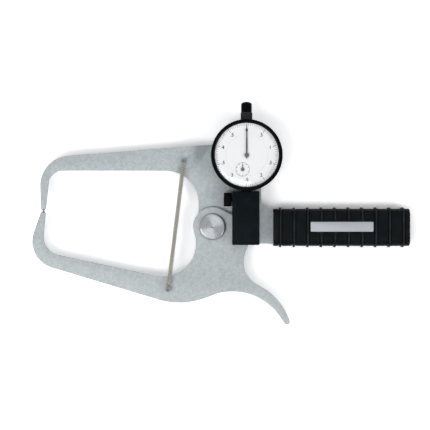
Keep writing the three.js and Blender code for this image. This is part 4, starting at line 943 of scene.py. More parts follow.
class GAUGE_OT_housing(bpy.types.Operator):
    """Black housing that carries the indicator over the swinging jaw"""
    bl_idname = "gauge.housing"
    bl_label = "Indicator housing"

    def execute(self, context):
        low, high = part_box("indicator_housing")
        bm = outline_solid(box_outline(low, high, HOUSING_CORNER, BOX_ARC_STEP), low.z, high.z)
        front = [edge for edge in rims(bm) if min(vert.co.z for vert in edge.verts) > high.z - HOUSING_EDGE]
        eased(bm, front, HOUSING_EDGE)
        piece = piece_from(bm, "indicator_housing_finish", SOFT_SHARP)
        over = Vector((OVERRUN, OVERRUN, OVERRUN))
        passage = block(low - over, (high.x - HOUSING_RIGHT_WALL, high.y - HOUSING_TOP_BLOCK,
                                     JAW_HIGH + JAW_CLEARANCE))
        cavity = block((STEM.x - CAVITY_HALF, PIVOT.y - CAVITY_UNDER, low.z - OVERRUN),
                       (STEM.x + CAVITY_HALF, PIVOT.y + CAVITY_OVER, high.z - HOUSING_FRONT_WALL))
        stem_bore = round_cut(STEM_BORE, 0, STEM_BORE_DEPTH, (STEM.x, PIVOT.y + STEM_BORE_FROM, STEM.z), "y",
                              FINE_STEPS)
        clamp_bore = round_cut(CLAMP_BORE, 0, CLAMP_BORE_DEPTH,
                               (low.x - OVERRUN, middle("clamp_screw").y, STEM.z), "x")
        screws = [round_cut(HOUSING_SCREW_BORE, -OVERRUN, HOUSING_SCREW_DEPTH,
                            above(middle(f"housing_screw_{n}"), low.z), steps=TINY_STEPS) for n in (1, 2)]
        carved(piece, passage, cavity, stem_bore, clamp_bore, *screws, sharp=SOFT_SHARP)
        finished(piece, "housing_black", "frame", "black_metal", "indicator_housing")
        return {"FINISHED"}


class GAUGE_OT_clamp_screw(bpy.types.Operator):
    """Knurled clamp screw on the left of the housing"""
    bl_idname = "gauge.clamp_screw"
    bl_label = "Clamp screw"

    def execute(self, context):
        sizes = context.scene.gauge_sizes
        low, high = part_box("clamp_screw")
        place = (low.x, *middle("clamp_screw").yz)
        radius = (high.y - low.y) / 2
        head = fluted(radius, sizes.knurl_depth, sizes.knurl_count, 0, CLAMP_HEAD, CLAMP_CHAMFER)
        shank = rod(CLAMP_SHANK, CLAMP_SHANK_FROM, high.x - low.x, HOLE_STEPS)
        dimple = turned(offsets(0, 0, CLAMP_DIMPLE), FINE_STEPS)
        piece = piece_from(placed(joined(head, shank), place, "x"), "clamp_screw_finish")
        carved(piece, placed(dimple, place, "x"), overlapping=True)
        finished(piece, "knurl_black", "clamp", "black_metal", "clamp_screw")
        return {"FINISHED"}


# Dial indicator, where each table goes outwards from a radius and up from a level of its piece
CASE_WALL = 1.6 * MM
CASE_BORE_REACH = 30 * MM
TOP_BORE = 3.5 * MM
CASE_BACK_THICKNESS = 1.1 * MM
CASE_BACK_UNDERSIDE = ((-6.8, 0), (-6.6, 0.2), (-6.2, 0.2), (-6, 0), (-0.25, 0), (0, 0.25))
CASE_SCREW_BORE = 1.8 * MM
CASE_SCREW_DEPTH = 0.6 * MM
BEZEL_SKIRT = 25.35 * MM
BEZEL_SEAT = 24.75 * MM
BEZEL_GROOVE = 25.45 * MM
BEZEL_LIP = 25.1 * MM
BEZEL_SEAT_HEIGHT = 2.15 * MM
BEZEL_SIDE = ((-0.2, 0), (0, 0.2), (0, 2.4), (-0.25, 2.6), (-0.25, 3.0), (0, 3.2))
BEZEL_SHOULDER = ((0, -0.9), (-0.1, -0.45), (-0.35, -0.12), (-0.75, 0))
BEZEL_SLOPE = ((1.2, 0), (1.0, -0.1), (0.06, -0.75), (0, -0.85), (0, -1.2))
GROOVE_WALL = ((0, -1.2), (0, -2.65))
SLOPE_WIDTH = 1.0 * MM
SLOPE_DEPTH = 0.8 * MM
INNER_WALL_DEPTH = 1.1 * MM
CRYSTAL_FLAT = 17.5 * MM
CRYSTAL_SEAT = 24.8 * MM
CRYSTAL_WALL = 0.55 * MM
CRYSTAL_SHARES = (1.0, 0.85, 0.7, 0.5, 0.3, 0.0)
DIAL_EDGE = 0.02 * MM
DIAL_OVERLAP = 0.07 * MM
DIAL_GAP = 0.06 * MM
DIAL_BORE = 0.7 * MM


class GAUGE_OT_indicator_case(bpy.types.Operator):
    """Round case of the dial indicator and its back"""
    bl_idname = "gauge.indicator_case"
    bl_label = "Indicator case"

    def execute(self, context):
        steps = context.scene.gauge_sizes.round_steps
        low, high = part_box("indicator_case")
        outer = (high.x - low.x) / 2
        ring = turned(ring_profile(outer - CASE_WALL, outer, low.z, high.z), steps)
        piece = piece_from(placed(ring, above(DIAL)), "indicator_case_finish")
        centre = above(DIAL, STEM.z)
        carved(piece, round_cut(STEM_BORE, -CASE_BORE_REACH, 0, centre, "y", FINE_STEPS),
               round_cut(TOP_BORE, 0, CASE_BORE_REACH, centre, "y", FINE_STEPS))
        finished(piece, "housing_black", "frame", "black_metal", "indicator_case")
        self.back(outer, steps)
        return {"FINISHED"}

    def back(self, outer, steps):
        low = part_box("case_back")[0]
        inside = low.z + CASE_BACK_THICKNESS
        profile = [(0, low.z), *offsets(outer, low.z, CASE_BACK_UNDERSIDE), (outer, inside), (0, inside)]
        piece = piece_from(placed(turned(profile, steps), above(DIAL)), "case_back_finish")
        heads = [round_cut(CASE_SCREW_BORE, low.z - OVERRUN, low.z + CASE_SCREW_DEPTH,
                           above(middle(f"case_screw_{n}"))) for n in (1, 2, 3, 4)]
        carved(piece, *heads)
        finished(piece, "worked_steel", "frame", "steel", "case_back")


class GAUGE_OT_bezel(bpy.types.Operator):
    """Gloss black bezel with its grey inner slope"""
    bl_idname = "gauge.bezel"
    bl_label = "Bezel"

    def execute(self, context):
        low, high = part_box("bezel")
        outer = (high.x - low.x) / 2
        top, back = high.z, low.z
        profile = [(BEZEL_SKIRT, back), *offsets(outer, back, BEZEL_SIDE)]
        profile += offsets(outer, top, BEZEL_SHOULDER) + offsets(BEZEL_LIP, top, BEZEL_SLOPE)
        profile += offsets(BEZEL_GROOVE, top, GROOVE_WALL)
        profile += [(BEZEL_SEAT, profile[-1][1]), (BEZEL_SEAT, back + BEZEL_SEAT_HEIGHT),
                    (BEZEL_SKIRT, back + BEZEL_SEAT_HEIGHT), (BEZEL_SKIRT, back)]
        bm = placed(turned(profile, context.scene.gauge_sizes.round_steps), above(DIAL))
        piece = finished(piece_from(bm, "bezel_finish"), "bezel_gloss", "bezel_group", "bezel_black", "bezel")
        piece.data.materials.append(material("bezel_slope"))
        piece.data.materials.append(material("dial_white"))
        for face in piece.data.polygons:
            away = math.hypot(face.center.x - DIAL.x, face.center.y - DIAL.y)
            if BEZEL_LIP < away < BEZEL_LIP + SLOPE_WIDTH and face.center.z > top - SLOPE_DEPTH:
                face.material_index = 1
            if away < BEZEL_SKIRT and face.center.z < top - INNER_WALL_DEPTH:
                face.material_index = 2
        return {"FINISHED"}


class GAUGE_OT_crystal(bpy.types.Operator):
    """Clear domed crystal over the dial"""
    bl_idname = "gauge.crystal"
    bl_label = "Crystal"

    def execute(self, context):
        low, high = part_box("crystal")
        radius = (high.x - low.x) / 2
        inside = high.z - CRYSTAL_WALL
        fall = inside - low.z
        arc = [(CRYSTAL_FLAT + (CRYSTAL_SEAT - CRYSTAL_FLAT) * share, fall * share ** 2)
               for share in CRYSTAL_SHARES]
        over = [(away, high.z - drop) for away, drop in arc]
        under = [(away, inside - drop) for away, drop in reversed(arc)]
        profile = [(0, inside), *under, (radius, low.z), (radius, low.z + CRYSTAL_WALL), *over, (0, high.z)]
        bm = placed(turned(profile, context.scene.gauge_sizes.round_steps), above(DIAL))
        finished(piece_from(bm, "crystal_finish"), "crystal_clear", "bezel_group", "crystal", "crystal")
        return {"FINISHED"}


class GAUGE_OT_dial(bpy.types.Operator):
    """White dial: a fixed centre and the ring that turns with the bezel"""
    bl_idname = "gauge.dial"
    bl_label = "Dial"

    def execute(self, context):
        steps = context.scene.gauge_sizes.round_steps
        low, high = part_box("dial_centre")
        radius = (high.x - low.x) / 2 + DIAL_OVERLAP
        centre = turned([(0, low.z), (radius, low.z), (radius, high.z - DIAL_EDGE),
                         (radius - DIAL_EDGE, high.z), (0, high.z)], steps)
        piece = piece_from(placed(centre, above(DIAL)), "dial_centre_finish")
        bores = [round_cut(DIAL_BORE, 0, 2 * high.z, place, steps=TINY_STEPS) for place in (
            above(DIAL), (middle("counter_hand").x, middle("counter_arbor").y, 0))]
        carved(piece, *bores)
        finished(piece, "dial_white", "frame", "dial", "dial_centre")
        low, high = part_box("dial_ring")
        outer, inner = (high.x - low.x) / 2, radius + DIAL_GAP
        ring = turned([(inner, low.z), (outer, low.z), (outer, high.z), (inner + DIAL_EDGE, high.z),
                       (inner, high.z - DIAL_EDGE), (inner, low.z)], steps)
        piece = piece_from(placed(ring, above(DIAL)), "dial_ring_finish")
        finished(piece, "dial_white", "bezel_group", "dial", "dial_ring")
        return {"FINISHED"}


# Dial print and hands
DIVISIONS = 100
NUMERALS = 10
NUMERAL_WEIGHT_SHARE = 0.02
NUMERAL_ARC_STEPS = 4
PRINT_INSET = 0.15 * MM
MIDDLE_TICK_EVERY = 5
MIDDLE_TICK_WIDTH_SHARE = 1.3
LONG_TICK_EVERY = 10
LONG_TICK_WIDTH_SHARE = 1.7
COUNTER_RADIUS = 5.5 * MM
COUNTER_LINE = 0.2 * MM
COUNTER_TICK = 1.3 * MM
COUNTER_TICK_WIDTH = 0.28 * MM
COUNTER_NUMERAL = 1.9 * MM
COUNTER_NUMERAL_INSET = 2.3 * MM
MAIN_BLADE = 0.56 * MM, 0.26 * MM
COUNTER_BLADE = 0.26 * MM, 0.1 * MM
BLADE_THICKNESS = 0.25 * MM
BLADE_TAPER_SHARE = 0.5
BLADE_BASE_SHARE = 1 / 3
HAND_TAIL_SHARE = 0.65
BLADE_BORE = 0.6 * MM
HUB_BORE = 0.55 * MM
HUB_EDGE = 0.15 * MM


def tick(length, width, outer, turn, low, high):
    """One printed division, pointing at the dial's centre, clockwise from the top by a turn."""
    bm = block((-width / 2, outer - length, low), (width / 2, outer, high))
    bmesh.ops.rotate(bm, cent=(0, 0, 0), matrix=Matrix.Rotation(-turn, 3, "Z"), verts=bm.verts)
    return bm


def numeral(text, size, place, thickness):
    """A printed number as a closed mesh."""
    curve = bpy.data.curves.new("numeral", "FONT")
    curve.body = text
    curve.size = size
    curve.align_x = "CENTER"
    curve.align_y = "CENTER"
    curve.extrude = thickness / 2
    curve.offset = NUMERAL_WEIGHT_SHARE * size
    curve.resolution_u = NUMERAL_ARC_STEPS
    return curve_solid(curve, place)


class GAUGE_OT_dial_print(bpy.types.Operator):
    """Printed divisions and numbers of the dial and the small counter"""
    bl_idname = "gauge.dial_print"
    bl_label = "Dial print"

    def execute(self, context):
        sizes = context.scene.gauge_sizes
        self.outer_print(sizes)
        self.counter_print(sizes)
        return {"FINISHED"}

    def outer_print(self, sizes):
        low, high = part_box("dial_ring")
        back, front = high.z, high.z + sizes.ink_thickness
        outer = (high.x - low.x) / 2 - PRINT_INSET
        marks = []
        for index in range(DIVISIONS):
            long, width = sizes.tick_short, sizes.tick_width
            if index % MIDDLE_TICK_EVERY == 0:
                long, width = sizes.tick_middle, MIDDLE_TICK_WIDTH_SHARE * sizes.tick_width
            if index % LONG_TICK_EVERY == 0:
                long, width = sizes.tick_long, LONG_TICK_WIDTH_SHARE * sizes.tick_width
            marks.append(tick(long, width, outer, math.tau * index / DIVISIONS, back, front))
        for index in range(NUMERALS):
            text = ".5" if index % 2 else str(index // 2)
            turn = math.tau * index / NUMERALS
            spot = (sizes.numeral_radius * math.sin(turn), sizes.numeral_radius * math.cos(turn),
                    (back + front) / 2)
            marks.append(numeral(text, sizes.numeral_height, spot, sizes.ink_thickness))
        piece = piece_from(placed(joined(*marks), above(DIAL)), "dial_ring_print")
        finished(piece, "ink", "bezel_group", "hand")

    def counter_print(self, sizes):
        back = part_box("dial_centre")[1].z
        front = back + sizes.ink_thickness
        inner = COUNTER_RADIUS - COUNTER_LINE
        marks = [turned(ring_profile(inner, COUNTER_RADIUS, back, front), CIRCLE_STEPS)]
        for index in range(NUMERALS):
            turn = math.tau * index / NUMERALS
            marks.append(tick(COUNTER_TICK, COUNTER_TICK_WIDTH, COUNTER_RADIUS, turn, back, front))
        spot = (0, COUNTER_RADIUS - COUNTER_NUMERAL_INSET, (back + front) / 2)
        marks.append(numeral("0", COUNTER_NUMERAL, spot, sizes.ink_thickness))
        piece = piece_from(placed(joined(*marks), above(middle("counter_arbor"))), "counter_print")
        finished(piece, "ink", "frame", "hand")


class GAUGE_OT_hands(bpy.types.Operator):
    """Main hand and the small counter hand, each with its hub"""
    bl_idname = "gauge.hands"
    bl_label = "Hands"

    def execute(self, context):
        self.hand("main_hand", "pointer", DIAL, *MAIN_BLADE)
        self.hand("counter_hand", "counter", middle("counter_arbor"), *COUNTER_BLADE)
        return {"FINISHED"}

    def hand(self, node, body, axis, root, tip):
        """A hand from half the widths of its blade at the root and at the tip."""
        low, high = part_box(node)
        base = low.z + BLADE_BASE_SHARE * (high.z - low.z)
        tail, reach = HAND_TAIL_SHARE * (low.y - axis.y), high.y - axis.y
        taper = BLADE_TAPER_SHARE * reach
        blade = outline_solid([(-root, tail), (root, tail), (root, taper), (tip, reach), (-tip, reach),
                               (-root, taper)], base, base + BLADE_THICKNESS)
        piece = carved(piece_from(placed(blade, above(axis)), f"{node}_finish"),
                       round_cut(BLADE_BORE, 0, 2 * high.z, above(axis), steps=TINY_STEPS))
        finished(piece, "hand_black", body, "hand", node)
        radius = (high.x - low.x) / 2
        hub = turned([(HUB_BORE, low.z), (radius, low.z), (radius, high.z - HUB_EDGE),
                      (radius - HUB_EDGE, high.z), (HUB_BORE, high.z), (HUB_BORE, low.z)], FINE_STEPS)
        finished(piece_from(placed(hub, above(axis)), f"{node}_hub"), "hub_grey", body, "brass")


# Collar and cap on the plunger's axis
COLLAR_GAP = 0.2 * MM
COLLAR_CHAMFER = 0.5 * MM
COLLAR_NECK = 3.4 * MM
COLLAR_NECK_OVERLAP = 2 * MM
COLLAR_BORE = 2.46 * MM
COLLAR_FEWER_FLUTES = 2
CAP_DOME = 2.2 * MM
CAP_EDGE = ((-0.3, 0), (0, 0.3))
CAP_ARC_STEP = 10


class GAUGE_OT_collar(bpy.types.Operator):
    """Knurled collar above the case"""
    bl_idname = "gauge.collar"
    bl_label = "Top collar"

    def execute(self, context):
        sizes = context.scene.gauge_sizes
        low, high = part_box("top_collar")
        axis = (STEM.x, 0, STEM.z)
        start = DIAL.y + (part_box("indicator_case")[1].x - DIAL.x) + COLLAR_GAP
        head = fluted((high.x - low.x) / 2, sizes.knurl_depth, sizes.knurl_count - COLLAR_FEWER_FLUTES, start,
                      high.y, COLLAR_CHAMFER)
        neck = rod(COLLAR_NECK, low.y, start + COLLAR_NECK_OVERLAP, FINE_STEPS)
        piece = piece_from(placed(joined(head, neck), axis, "y"), "top_collar_finish")
        bore = round_cut(COLLAR_BORE, low.y - OVERRUN, high.y + OVERRUN, axis, "y", FINE_STEPS)
        carved(piece, bore, overlapping=True)
        finished(piece, "collar_black", "frame", "black_metal", "top_collar")
        return {"FINISHED"}


class GAUGE_OT_plunger_cap(bpy.types.Operator):
    """Domed cap on the end of the plunger"""
    bl_idname = "gauge.plunger_cap"
    bl_label = "Plunger cap"

    def execute(self, context):
        low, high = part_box("spindle_cap")
        radius = (high.x - low.x) / 2
        arc = [(radius * math.cos(turn), high.y - CAP_DOME + CAP_DOME * math.sin(turn))
               for turn in [math.radians(angle) for angle in range(0, 90, CAP_ARC_STEP)]]
        profile = [(0, low.y), *offsets(radius, low.y, CAP_EDGE), *arc, (0, high.y)]
        bm = placed(turned(profile, context.scene.gauge_sizes.small_steps), (STEM.x, 0, STEM.z), "y")
        finished(piece_from(bm, "spindle_cap_finish"), "cap_gloss", "plunger", "bezel_black", "spindle_cap")
        return {"FINISHED"}


# Grip, where each table gives a distance along it and how far its section is shrunk there, in millimetres
GRIP_CORNER = 7 * MM
GRIP_SEAM_HALF = 0.05 * MM
GRIP_END = ((0, 1.8), (0.25, 1.25), (0.8, 1.0))
RIB_COUNT = 10
RIB_FIRST = 5.58 * MM
RIB_LAST = 5.35 * MM
RIB_HALF = 0.8 * MM
RIB_GROOVE = ((0.85, 1.0), (0.7, 1.8), (0.15, 1.8), (0, 1.0))
RIB_EDGE_SHARE = 0.3
RIB_CREST_SHARE = 0.5
PANEL_RIBS = 2, 7
PANEL_HALF = 6.25 * MM
PANEL_DEPTH = 1 * MM
RIDGE_HALF = 0.45 * MM
RIDGE_DEPTH = 4 * MM
RIDGE_DROP = 0.4 * MM
RIDGE_EDGE = 0.25 * MM
LABEL_GAP = 0.15 * MM
TANG_GAP = 0.1 * MM
MOUTH_LENGTH = 5.6 * MM
MOUTH_UNDER = 13.7 * MM
MOUTH_OVER = 12.8 * MM
GRIP_SCREW_BORE = 3.0 * MM
GRIP_SCREW_DEPTH = 3.2 * MM
LABEL_CORNER = 0.6 * MM
LABEL_EDGE = 0.08 * MM


def rib_places(low, high):
    """Middles of the ribs along a grip from low to high."""
    first, last = low + RIB_FIRST, high - RIB_LAST
    return [first + (last - first) * index / (RIB_COUNT - 1) for index in range(RIB_COUNT)]


def grip_section(inset, width, height):
    """Rounded section of the grip as (height, across) points, shrunk by an inset."""
    half, radius = width / 2 - inset, GRIP_CORNER - inset
    corners = [(inset, -half, radius), (height - inset, -half, radius), (height - inset, half, radius),
               (inset, half, radius)]
    return rounded_outline(corners, BOX_ARC_STEP)


def grip_stations(low, high, edge):
    """Places along the grip with their inset: its ends and the rise and fall of each rib."""
    rise = [(RIB_HALF + away * MM, inset * MM) for away, inset in RIB_GROOVE]
    rise += [(RIB_HALF, edge), (RIB_HALF - RIB_EDGE_SHARE * edge, RIB_EDGE_SHARE * edge),
             (RIB_HALF - edge, 0.0)]
    stations = [(low + along * MM, inset * MM) for along, inset in GRIP_END]
    for x in rib_places(low, high):
        stations += [(x - away, inset) for away, inset in rise]
        stations += [(x + away, inset) for away, inset in reversed(rise)]
    return stations + [(high - along * MM, inset * MM) for along, inset in reversed(GRIP_END)]


def grip_blank(low, high, level, width, height, edge):
    """Ribbed grip drawn section by section along X."""
    bm = bmesh.new()
    stations = grip_stations(low, high, edge)
    section = grip_section(stations[0][1], width, height)
    ring = [bm.verts.new((low, level + y, z)) for z, y in section]
    loop = [bm.edges.new((ring[i - 1], ring[i])) for i in range(len(ring))]
    bm.faces.new(ring)
    for x, inset in stations[1:]:
        made = bmesh.ops.extrude_edge_only(bm, edges=loop)["geom"]
        loop = [part for part in made if isinstance(part, bmesh.types.BMEdge)]
        fresh = ordered_ring(loop)
        match_ring(fresh, ring, grip_section(inset, width, height), x, level)
        ring = fresh
    bm.faces.new(ring)
    bmesh.ops.recalc_face_normals(bm, faces=bm.faces)
    return bm


def ordered_ring(loop):
    """Vertices of a closed loop of edges, in order."""
    ring = [loop[0].verts[0], loop[0].verts[1]]
    left = set(loop[1:])
    while len(ring) < len(loop):
        edge = next(item for item in left if ring[-1] in item.verts)
        left.remove(edge)
        ring.append(edge.other_vert(ring[-1]))
    return ring


def match_ring(fresh, ring, section, x, level):
    """Moves a fresh ring, still on top of the one before it, to its own section."""
    order = {tuple(vert.co): index for index, vert in enumerate(ring)}
    fresh.sort(key=lambda vert: order[tuple(vert.co)])
    for vert, (z, y) in zip(fresh, section):
        vert.co = (x, level + y, z)


class GAUGE_OT_grip(bpy.types.Operator):
    """Both ribbed halves of the grip"""
    bl_idname = "gauge.grip"
    bl_label = "Grip"

    def execute(self, context):
        rib_edge = context.scene.gauge_sizes.rib_edge
        low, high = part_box("grip_back")
        seam, top = (corner.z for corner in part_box("grip_front"))
        level = (low.y + high.y) / 2
        ribs = rib_places(low.x, high.x)
        panel = [ribs[index] for index in PANEL_RIBS]
        for name, side in (("grip_front", 1), ("grip_back", -1)):
            bm = grip_blank(low.x, high.x, level, high.y - low.y, top, rib_edge)
            bmesh.ops.bisect_plane(bm, geom=all_of(bm), dist=WELD, plane_no=(0, 0, side), clear_inner=True,
                                   plane_co=(0, 0, seam + side * GRIP_SEAM_HALF))
            bmesh.ops.edgeloop_fill(bm, edges=[edge for edge in bm.edges if len(edge.link_faces) == 1])
            bmesh.ops.recalc_face_normals(bm, faces=bm.faces)
            piece = piece_from(bm, f"{name}_finish", SOFT_SHARP)
            spaces = self.panel_spaces(panel, level, top) if side > 0 else self.screw_spaces()
            carved(piece, self.tang_space(low.x), *spaces, sharp=SOFT_SHARP)
            if side > 0:
                self.add_ridges(piece, panel, level, top)
            finished(piece, "grip_plastic", "frame", "grip_black", name)
            # Faces on the rib crests get the lighter crest finish, which is a painted highlight
            piece.data.materials.append(material("grip_crest"))
            for face in piece.data.polygons:
                if min(abs(face.center.x - rib) for rib in ribs) < RIB_HALF - RIB_CREST_SHARE * rib_edge:
                    face.material_index = 1
        return {"FINISHED"}

    def tang_space(self, start):
        return block((start - OVERRUN, PIVOT.y - MOUTH_UNDER, PLATE_LOW - TANG_GAP),
                     (start + MOUTH_LENGTH, PIVOT.y + MOUTH_OVER, PLATE_LOW + PLATE + TANG_GAP))

    def screw_spaces(self):
        return [round_cut(GRIP_SCREW_BORE, -OVERRUN, GRIP_SCREW_DEPTH, above(middle(f"grip_screw_{n}")))
                for n in (1, 2, 3)]

    def panel_spaces(self, panel, level, top):
        """The flat panel between two ribs, and the recess of the label in it."""
        left, right = panel
        flat = block((left + RIB_HALF, level - PANEL_HALF, top - PANEL_DEPTH),
                     (right - RIB_HALF, level + PANEL_HALF, top + OVERRUN))
        low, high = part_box("label_plate")
        gap = Vector((LABEL_GAP, LABEL_GAP, 0))
        return [flat, block(low - gap, high + gap + Vector((0, 0, OVERRUN)))]

    def add_ridges(self, piece, panel, level, top):
        """A low ridge along each long side of the panel."""
        left, right = panel
        ridges = []
        for y in (level - PANEL_HALF, level + PANEL_HALF):
            ridge = block((left, y - RIDGE_HALF, top - RIDGE_DEPTH),
                          (right, y + RIDGE_HALF, top - RIDGE_DROP))
            crest = [edge for edge in ridge.edges
                     if min(vert.co.z for vert in edge.verts) > top - PANEL_DEPTH]
            ridges.append(eased(ridge, crest, RIDGE_EDGE))
        bm = joined(*ridges)
        bm.from_mesh(piece.data)
        bm.to_mesh(piece.data)
        bm.free()
        piece.data.shade_smooth()
        piece.data.set_sharp_from_angle(angle=SOFT_SHARP)


class GAUGE_OT_label(bpy.types.Operator):
    """Bare metal label on the grip"""
    bl_idname = "gauge.label"
    bl_label = "Label plate"

    def execute(self, context):
        low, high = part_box("label_plate")
        bm = outline_solid(box_outline(low, high, LABEL_CORNER, LABEL_ARC_STEP), low.z, high.z)
        eased(bm, rims(bm), LABEL_EDGE, 2)
        finished(piece_from(bm, "label_plate_finish"), "label_metal", "frame", "label", "label_plate")
        return {"FINISHED"}


# Screws, with each kind's count and the radius of its shank and the height of its head in millimetres
SCREWS = {"housing_screw": (2, 1.5, 1.8), "case_screw": (4, 0.9, 0.6), "grip_screw": (3, 1.5, 1.8)}
SCREW_EDGE = 0.15 * MM
SLOT_WIDTH_SHARE = 0.14
SLOT_DEPTH_SHARE = 0.4
SLOT_TURN = 0.7


class GAUGE_OT_screws(bpy.types.Operator):
    """Slotted screws in the back of the frame, the case and the grip"""
    bl_idname = "gauge.screws"
    bl_label = "Screws"

    def execute(self, context):
        screws = [(f"{kind}_{n + 1}", shank * MM, depth * MM)
                  for kind, (count, shank, depth) in SCREWS.items() for n in range(count)]
        for index, (node, shank, depth) in enumerate(screws):
            self.screw(node, shank, depth, SLOT_TURN * index)
        return {"FINISHED"}

    def screw(self, node, shank, depth, turn):
        low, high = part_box(node)
        place = above((low + high) / 2)
        head = (high.x - low.x) / 2
        bm = turned([(0, low.z), (head - SCREW_EDGE, low.z), (head, low.z + SCREW_EDGE),
                     (head, low.z + depth), (shank, low.z + depth), (shank, high.z), (0, high.z)], HOLE_STEPS)
        half = SLOT_WIDTH_SHARE * head
        slot = block((-head - OVERRUN, -half, low.z - OVERRUN),
                     (head + OVERRUN, half, low.z + SLOT_DEPTH_SHARE * depth))
        bmesh.ops.rotate(slot, cent=(0, 0, 0), matrix=Matrix.Rotation(turn, 3, "Z"), verts=slot.verts)
        piece = carved(piece_from(placed(bm, place), f"{node}_finish"), placed(slot, place))
        finished(piece, "worked_steel", "frame", "steel", node)


CARRIED_LOOKS = {
    "upper_contact": "hard_metal",
    "lower_contact": "hard_metal",
    "pivot_washer": "brass",
    "pivot_bush": "brass",
    "lift_pin": "worked_steel",
    "movement_plate": "brass",
    "stem": "knurl_black",
    "spindle": "plunger_steel",
    "contact_point": "plunger_steel",
    "counter_arbor": "hard_metal",
    "centre_arbor": "hard_metal",
}


class GAUGE_OT_carried_parts(bpy.types.Operator):
    """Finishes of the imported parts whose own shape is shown"""
    bl_idname = "gauge.carried_parts"
    bl_label = "Carried parts"

    def execute(self, context):
        for node, look in CARRIED_LOOKS.items():
            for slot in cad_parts[node].material_slots:
                slot.material = material(look)
        return {"FINISHED"}


# Stage, in metres and watts: each lamp's place, diameter and power
LAMPS = {
    "key_light": ((-0.62, -0.42, 1.42), 0.6, 6.0),
    "side_light": ((0.95, -0.42, 1.1), 0.6, 5.0),
    "top_light": ((-0.08, -0.4, 1.4), 0.45, 2.0),
    "back_light": ((-0.1, 0.95, 1.1), 1.1, 2.4),
}
FLOOR_HALF = 3
FLOOR_DROP = 0.05 * MM
CAMERA_ASIDE = Vector((2.04, 9.4)) * MM
CAMERA_HEIGHT = 1.014
CAMERA_SENSOR = 36.0
CAMERA_LENS = 104.65
CAMERA_REACH = 20.0

# Surroundings: the light on matt surfaces and the room that mirrors show
MATT_LEVEL = 0.42
ROOM_LEVELS = ((0.0, 0.8), (0.3, 0.9), (0.5, 0.75), (0.8, 0.6), (0.93, 0.5), (1.0, 0.45))
ROOM_SIDES = 3.0
SIDE_WAVE = -0.6, 0.4
SIDE_LEVELS = 0.12, 1.0
SIDE_HEIGHTS = 0.25, 0.6


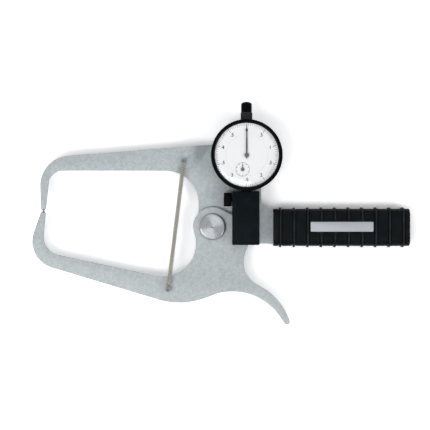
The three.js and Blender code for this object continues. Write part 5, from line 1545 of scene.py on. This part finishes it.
class GAUGE_OT_stage(bpy.types.Operator):
    """Pale floor, soft lights, white surroundings and the camera"""
    bl_idname = "gauge.stage"
    bl_label = "Stage"

    def execute(self, context):
        scene = context.scene
        scene.view_settings.view_transform = "Standard"
        self.floor()
        self.surroundings(scene)
        for name, (place, size, energy) in LAMPS.items():
            self.light(name, place, size, energy)
        self.camera(scene)
        return {"FINISHED"}

    def floor(self):
        bm = bmesh.new()
        bmesh.ops.create_grid(bm, x_segments=1, y_segments=1, size=FLOOR_HALF)
        bmesh.ops.translate(bm, verts=bm.verts, vec=(0, 0, -FLOOR_DROP))
        piece = piece_from(bm, "floor")
        piece.data.materials.append(material("floor"))

    def surroundings(self, scene):
        """White surroundings where they are seen, a shaped room in mirrors and even light elsewhere."""
        world = bpy.data.worlds.new("surroundings")
        scene.world = world
        world.use_nodes = True
        tree = world.node_tree
        tree.nodes.clear()
        path = tree.nodes.new("ShaderNodeLightPath").outputs
        mirrored = math_in(tree, "MULTIPLY", path["Is Glossy Ray"], self.mirrored_room(tree))
        seen = math_in(tree, "MAXIMUM", path["Is Camera Ray"], path["Is Transmission Ray"])
        seen = math_in(tree, "MAXIMUM", seen, mirrored)
        level = ranged(tree, seen, target=(MATT_LEVEL, 1.0))
        background = node_in(tree, "ShaderNodeBackground", {"Color": WHITE, "Strength": level})
        output = tree.nodes.new("ShaderNodeOutputWorld")
        tree.links.new(background.outputs[0], output.inputs["Surface"])

    def mirrored_room(self, tree):
        """Brightness of the room in mirrors: dim straight overhead, three bright sides low down."""
        generated = tree.nodes.new("ShaderNodeTexCoord").outputs["Generated"]
        direction = node_in(tree, "ShaderNodeSeparateXYZ", {0: generated}).outputs
        height = tree.nodes.new("ShaderNodeValToRGB")
        tree.links.new(direction["Z"], height.inputs["Fac"])
        stops = height.color_ramp.elements
        stops[0].position, stops[1].position = ROOM_LEVELS[0][0], ROOM_LEVELS[-1][0]
        for place, _ in ROOM_LEVELS[1:-1]:
            stops.new(place)
        for stop, (_, level) in zip(stops, ROOM_LEVELS):
            stop.color = (level, level, level, 1)
        azimuth = math_in(tree, "ARCTAN2", direction["Y"], direction["X"])
        turn = math_in(tree, "MULTIPLY", math_in(tree, "SUBTRACT", azimuth, math.pi / 2), ROOM_SIDES)
        sides = ranged(tree, math_in(tree, "COSINE", turn), SIDE_WAVE, SIDE_LEVELS)
        low = ranged(tree, direction["Z"], SIDE_HEIGHTS, (1.0, 0.0))
        dimmed = math_in(tree, "MULTIPLY", low, math_in(tree, "SUBTRACT", 1.0, sides))
        return math_in(tree, "MULTIPLY", height.outputs["Color"], math_in(tree, "SUBTRACT", 1.0, dimmed))

    def light(self, name, place, size, energy):
        """A round soft lamp that points at the object."""
        lamp = bpy.data.lights.new(name, "AREA")
        lamp.shape = "DISK"
        lamp.size = size
        lamp.energy = energy
        holder = bpy.data.objects.new(name, lamp)
        holder.location = place
        holder.rotation_euler = (-Vector(place)).to_track_quat("-Z", "Y").to_euler()
        bpy.context.scene.collection.objects.link(holder)

    def camera(self, scene):
        """A camera straight above, a little aside of the pivot."""
        lens = bpy.data.cameras.new("camera")
        lens.sensor_width = CAMERA_SENSOR
        lens.lens = CAMERA_LENS
        lens.clip_end = CAMERA_REACH
        holder = bpy.data.objects.new("camera", lens)
        holder.location = (PIVOT.x + CAMERA_ASIDE.x, PIVOT.y + CAMERA_ASIDE.y, CAMERA_HEIGHT)
        scene.collection.objects.link(holder)
        scene.camera = holder


PIECE_OPERATORS = (
    GAUGE_OT_frame_plate,
    GAUGE_OT_swinging_jaw,
    GAUGE_OT_pivot,
    GAUGE_OT_spring_posts,
    GAUGE_OT_spring,
    GAUGE_OT_housing,
    GAUGE_OT_clamp_screw,
    GAUGE_OT_indicator_case,
    GAUGE_OT_bezel,
    GAUGE_OT_crystal,
    GAUGE_OT_dial,
    GAUGE_OT_dial_print,
    GAUGE_OT_hands,
    GAUGE_OT_collar,
    GAUGE_OT_plunger_cap,
    GAUGE_OT_grip,
    GAUGE_OT_label,
    GAUGE_OT_screws,
    GAUGE_OT_carried_parts,
    GAUGE_OT_stage,
)


class GAUGE_PT_panel(bpy.types.Panel):
    """Sizes, colours and makers of the gauge"""
    bl_idname = "GAUGE_PT_panel"
    bl_label = "Dial caliper gauge"
    bl_space_type = "VIEW_3D"
    bl_region_type = "UI"
    bl_category = "Gauge"

    def draw(self, context):
        for settings in (context.scene.gauge_sizes, context.scene.gauge_colours):
            box = self.layout.box()
            for name in settings.__annotations__:
                box.prop(settings, name)
        column = self.layout.column(align=True)
        for maker in PIECE_OPERATORS:
            column.operator(maker.bl_idname)


CLASSES = (GaugeSizes, GaugeColours, *PIECE_OPERATORS, GAUGE_PT_panel)


def register():
    for item in CLASSES:
        bpy.utils.register_class(item)
    bpy.types.Scene.gauge_sizes = PointerProperty(type=GaugeSizes)
    bpy.types.Scene.gauge_colours = PointerProperty(type=GaugeColours)


def unregister():
    del bpy.types.Scene.gauge_colours
    del bpy.types.Scene.gauge_sizes
    for item in reversed(CLASSES):
        bpy.utils.unregister_class(item)


def main():
    register()
    for maker in PIECE_OPERATORS:
        group, name = maker.bl_idname.split(".")
        getattr(getattr(bpy.ops, group), name)()


if __name__ == "__main__":
    main()
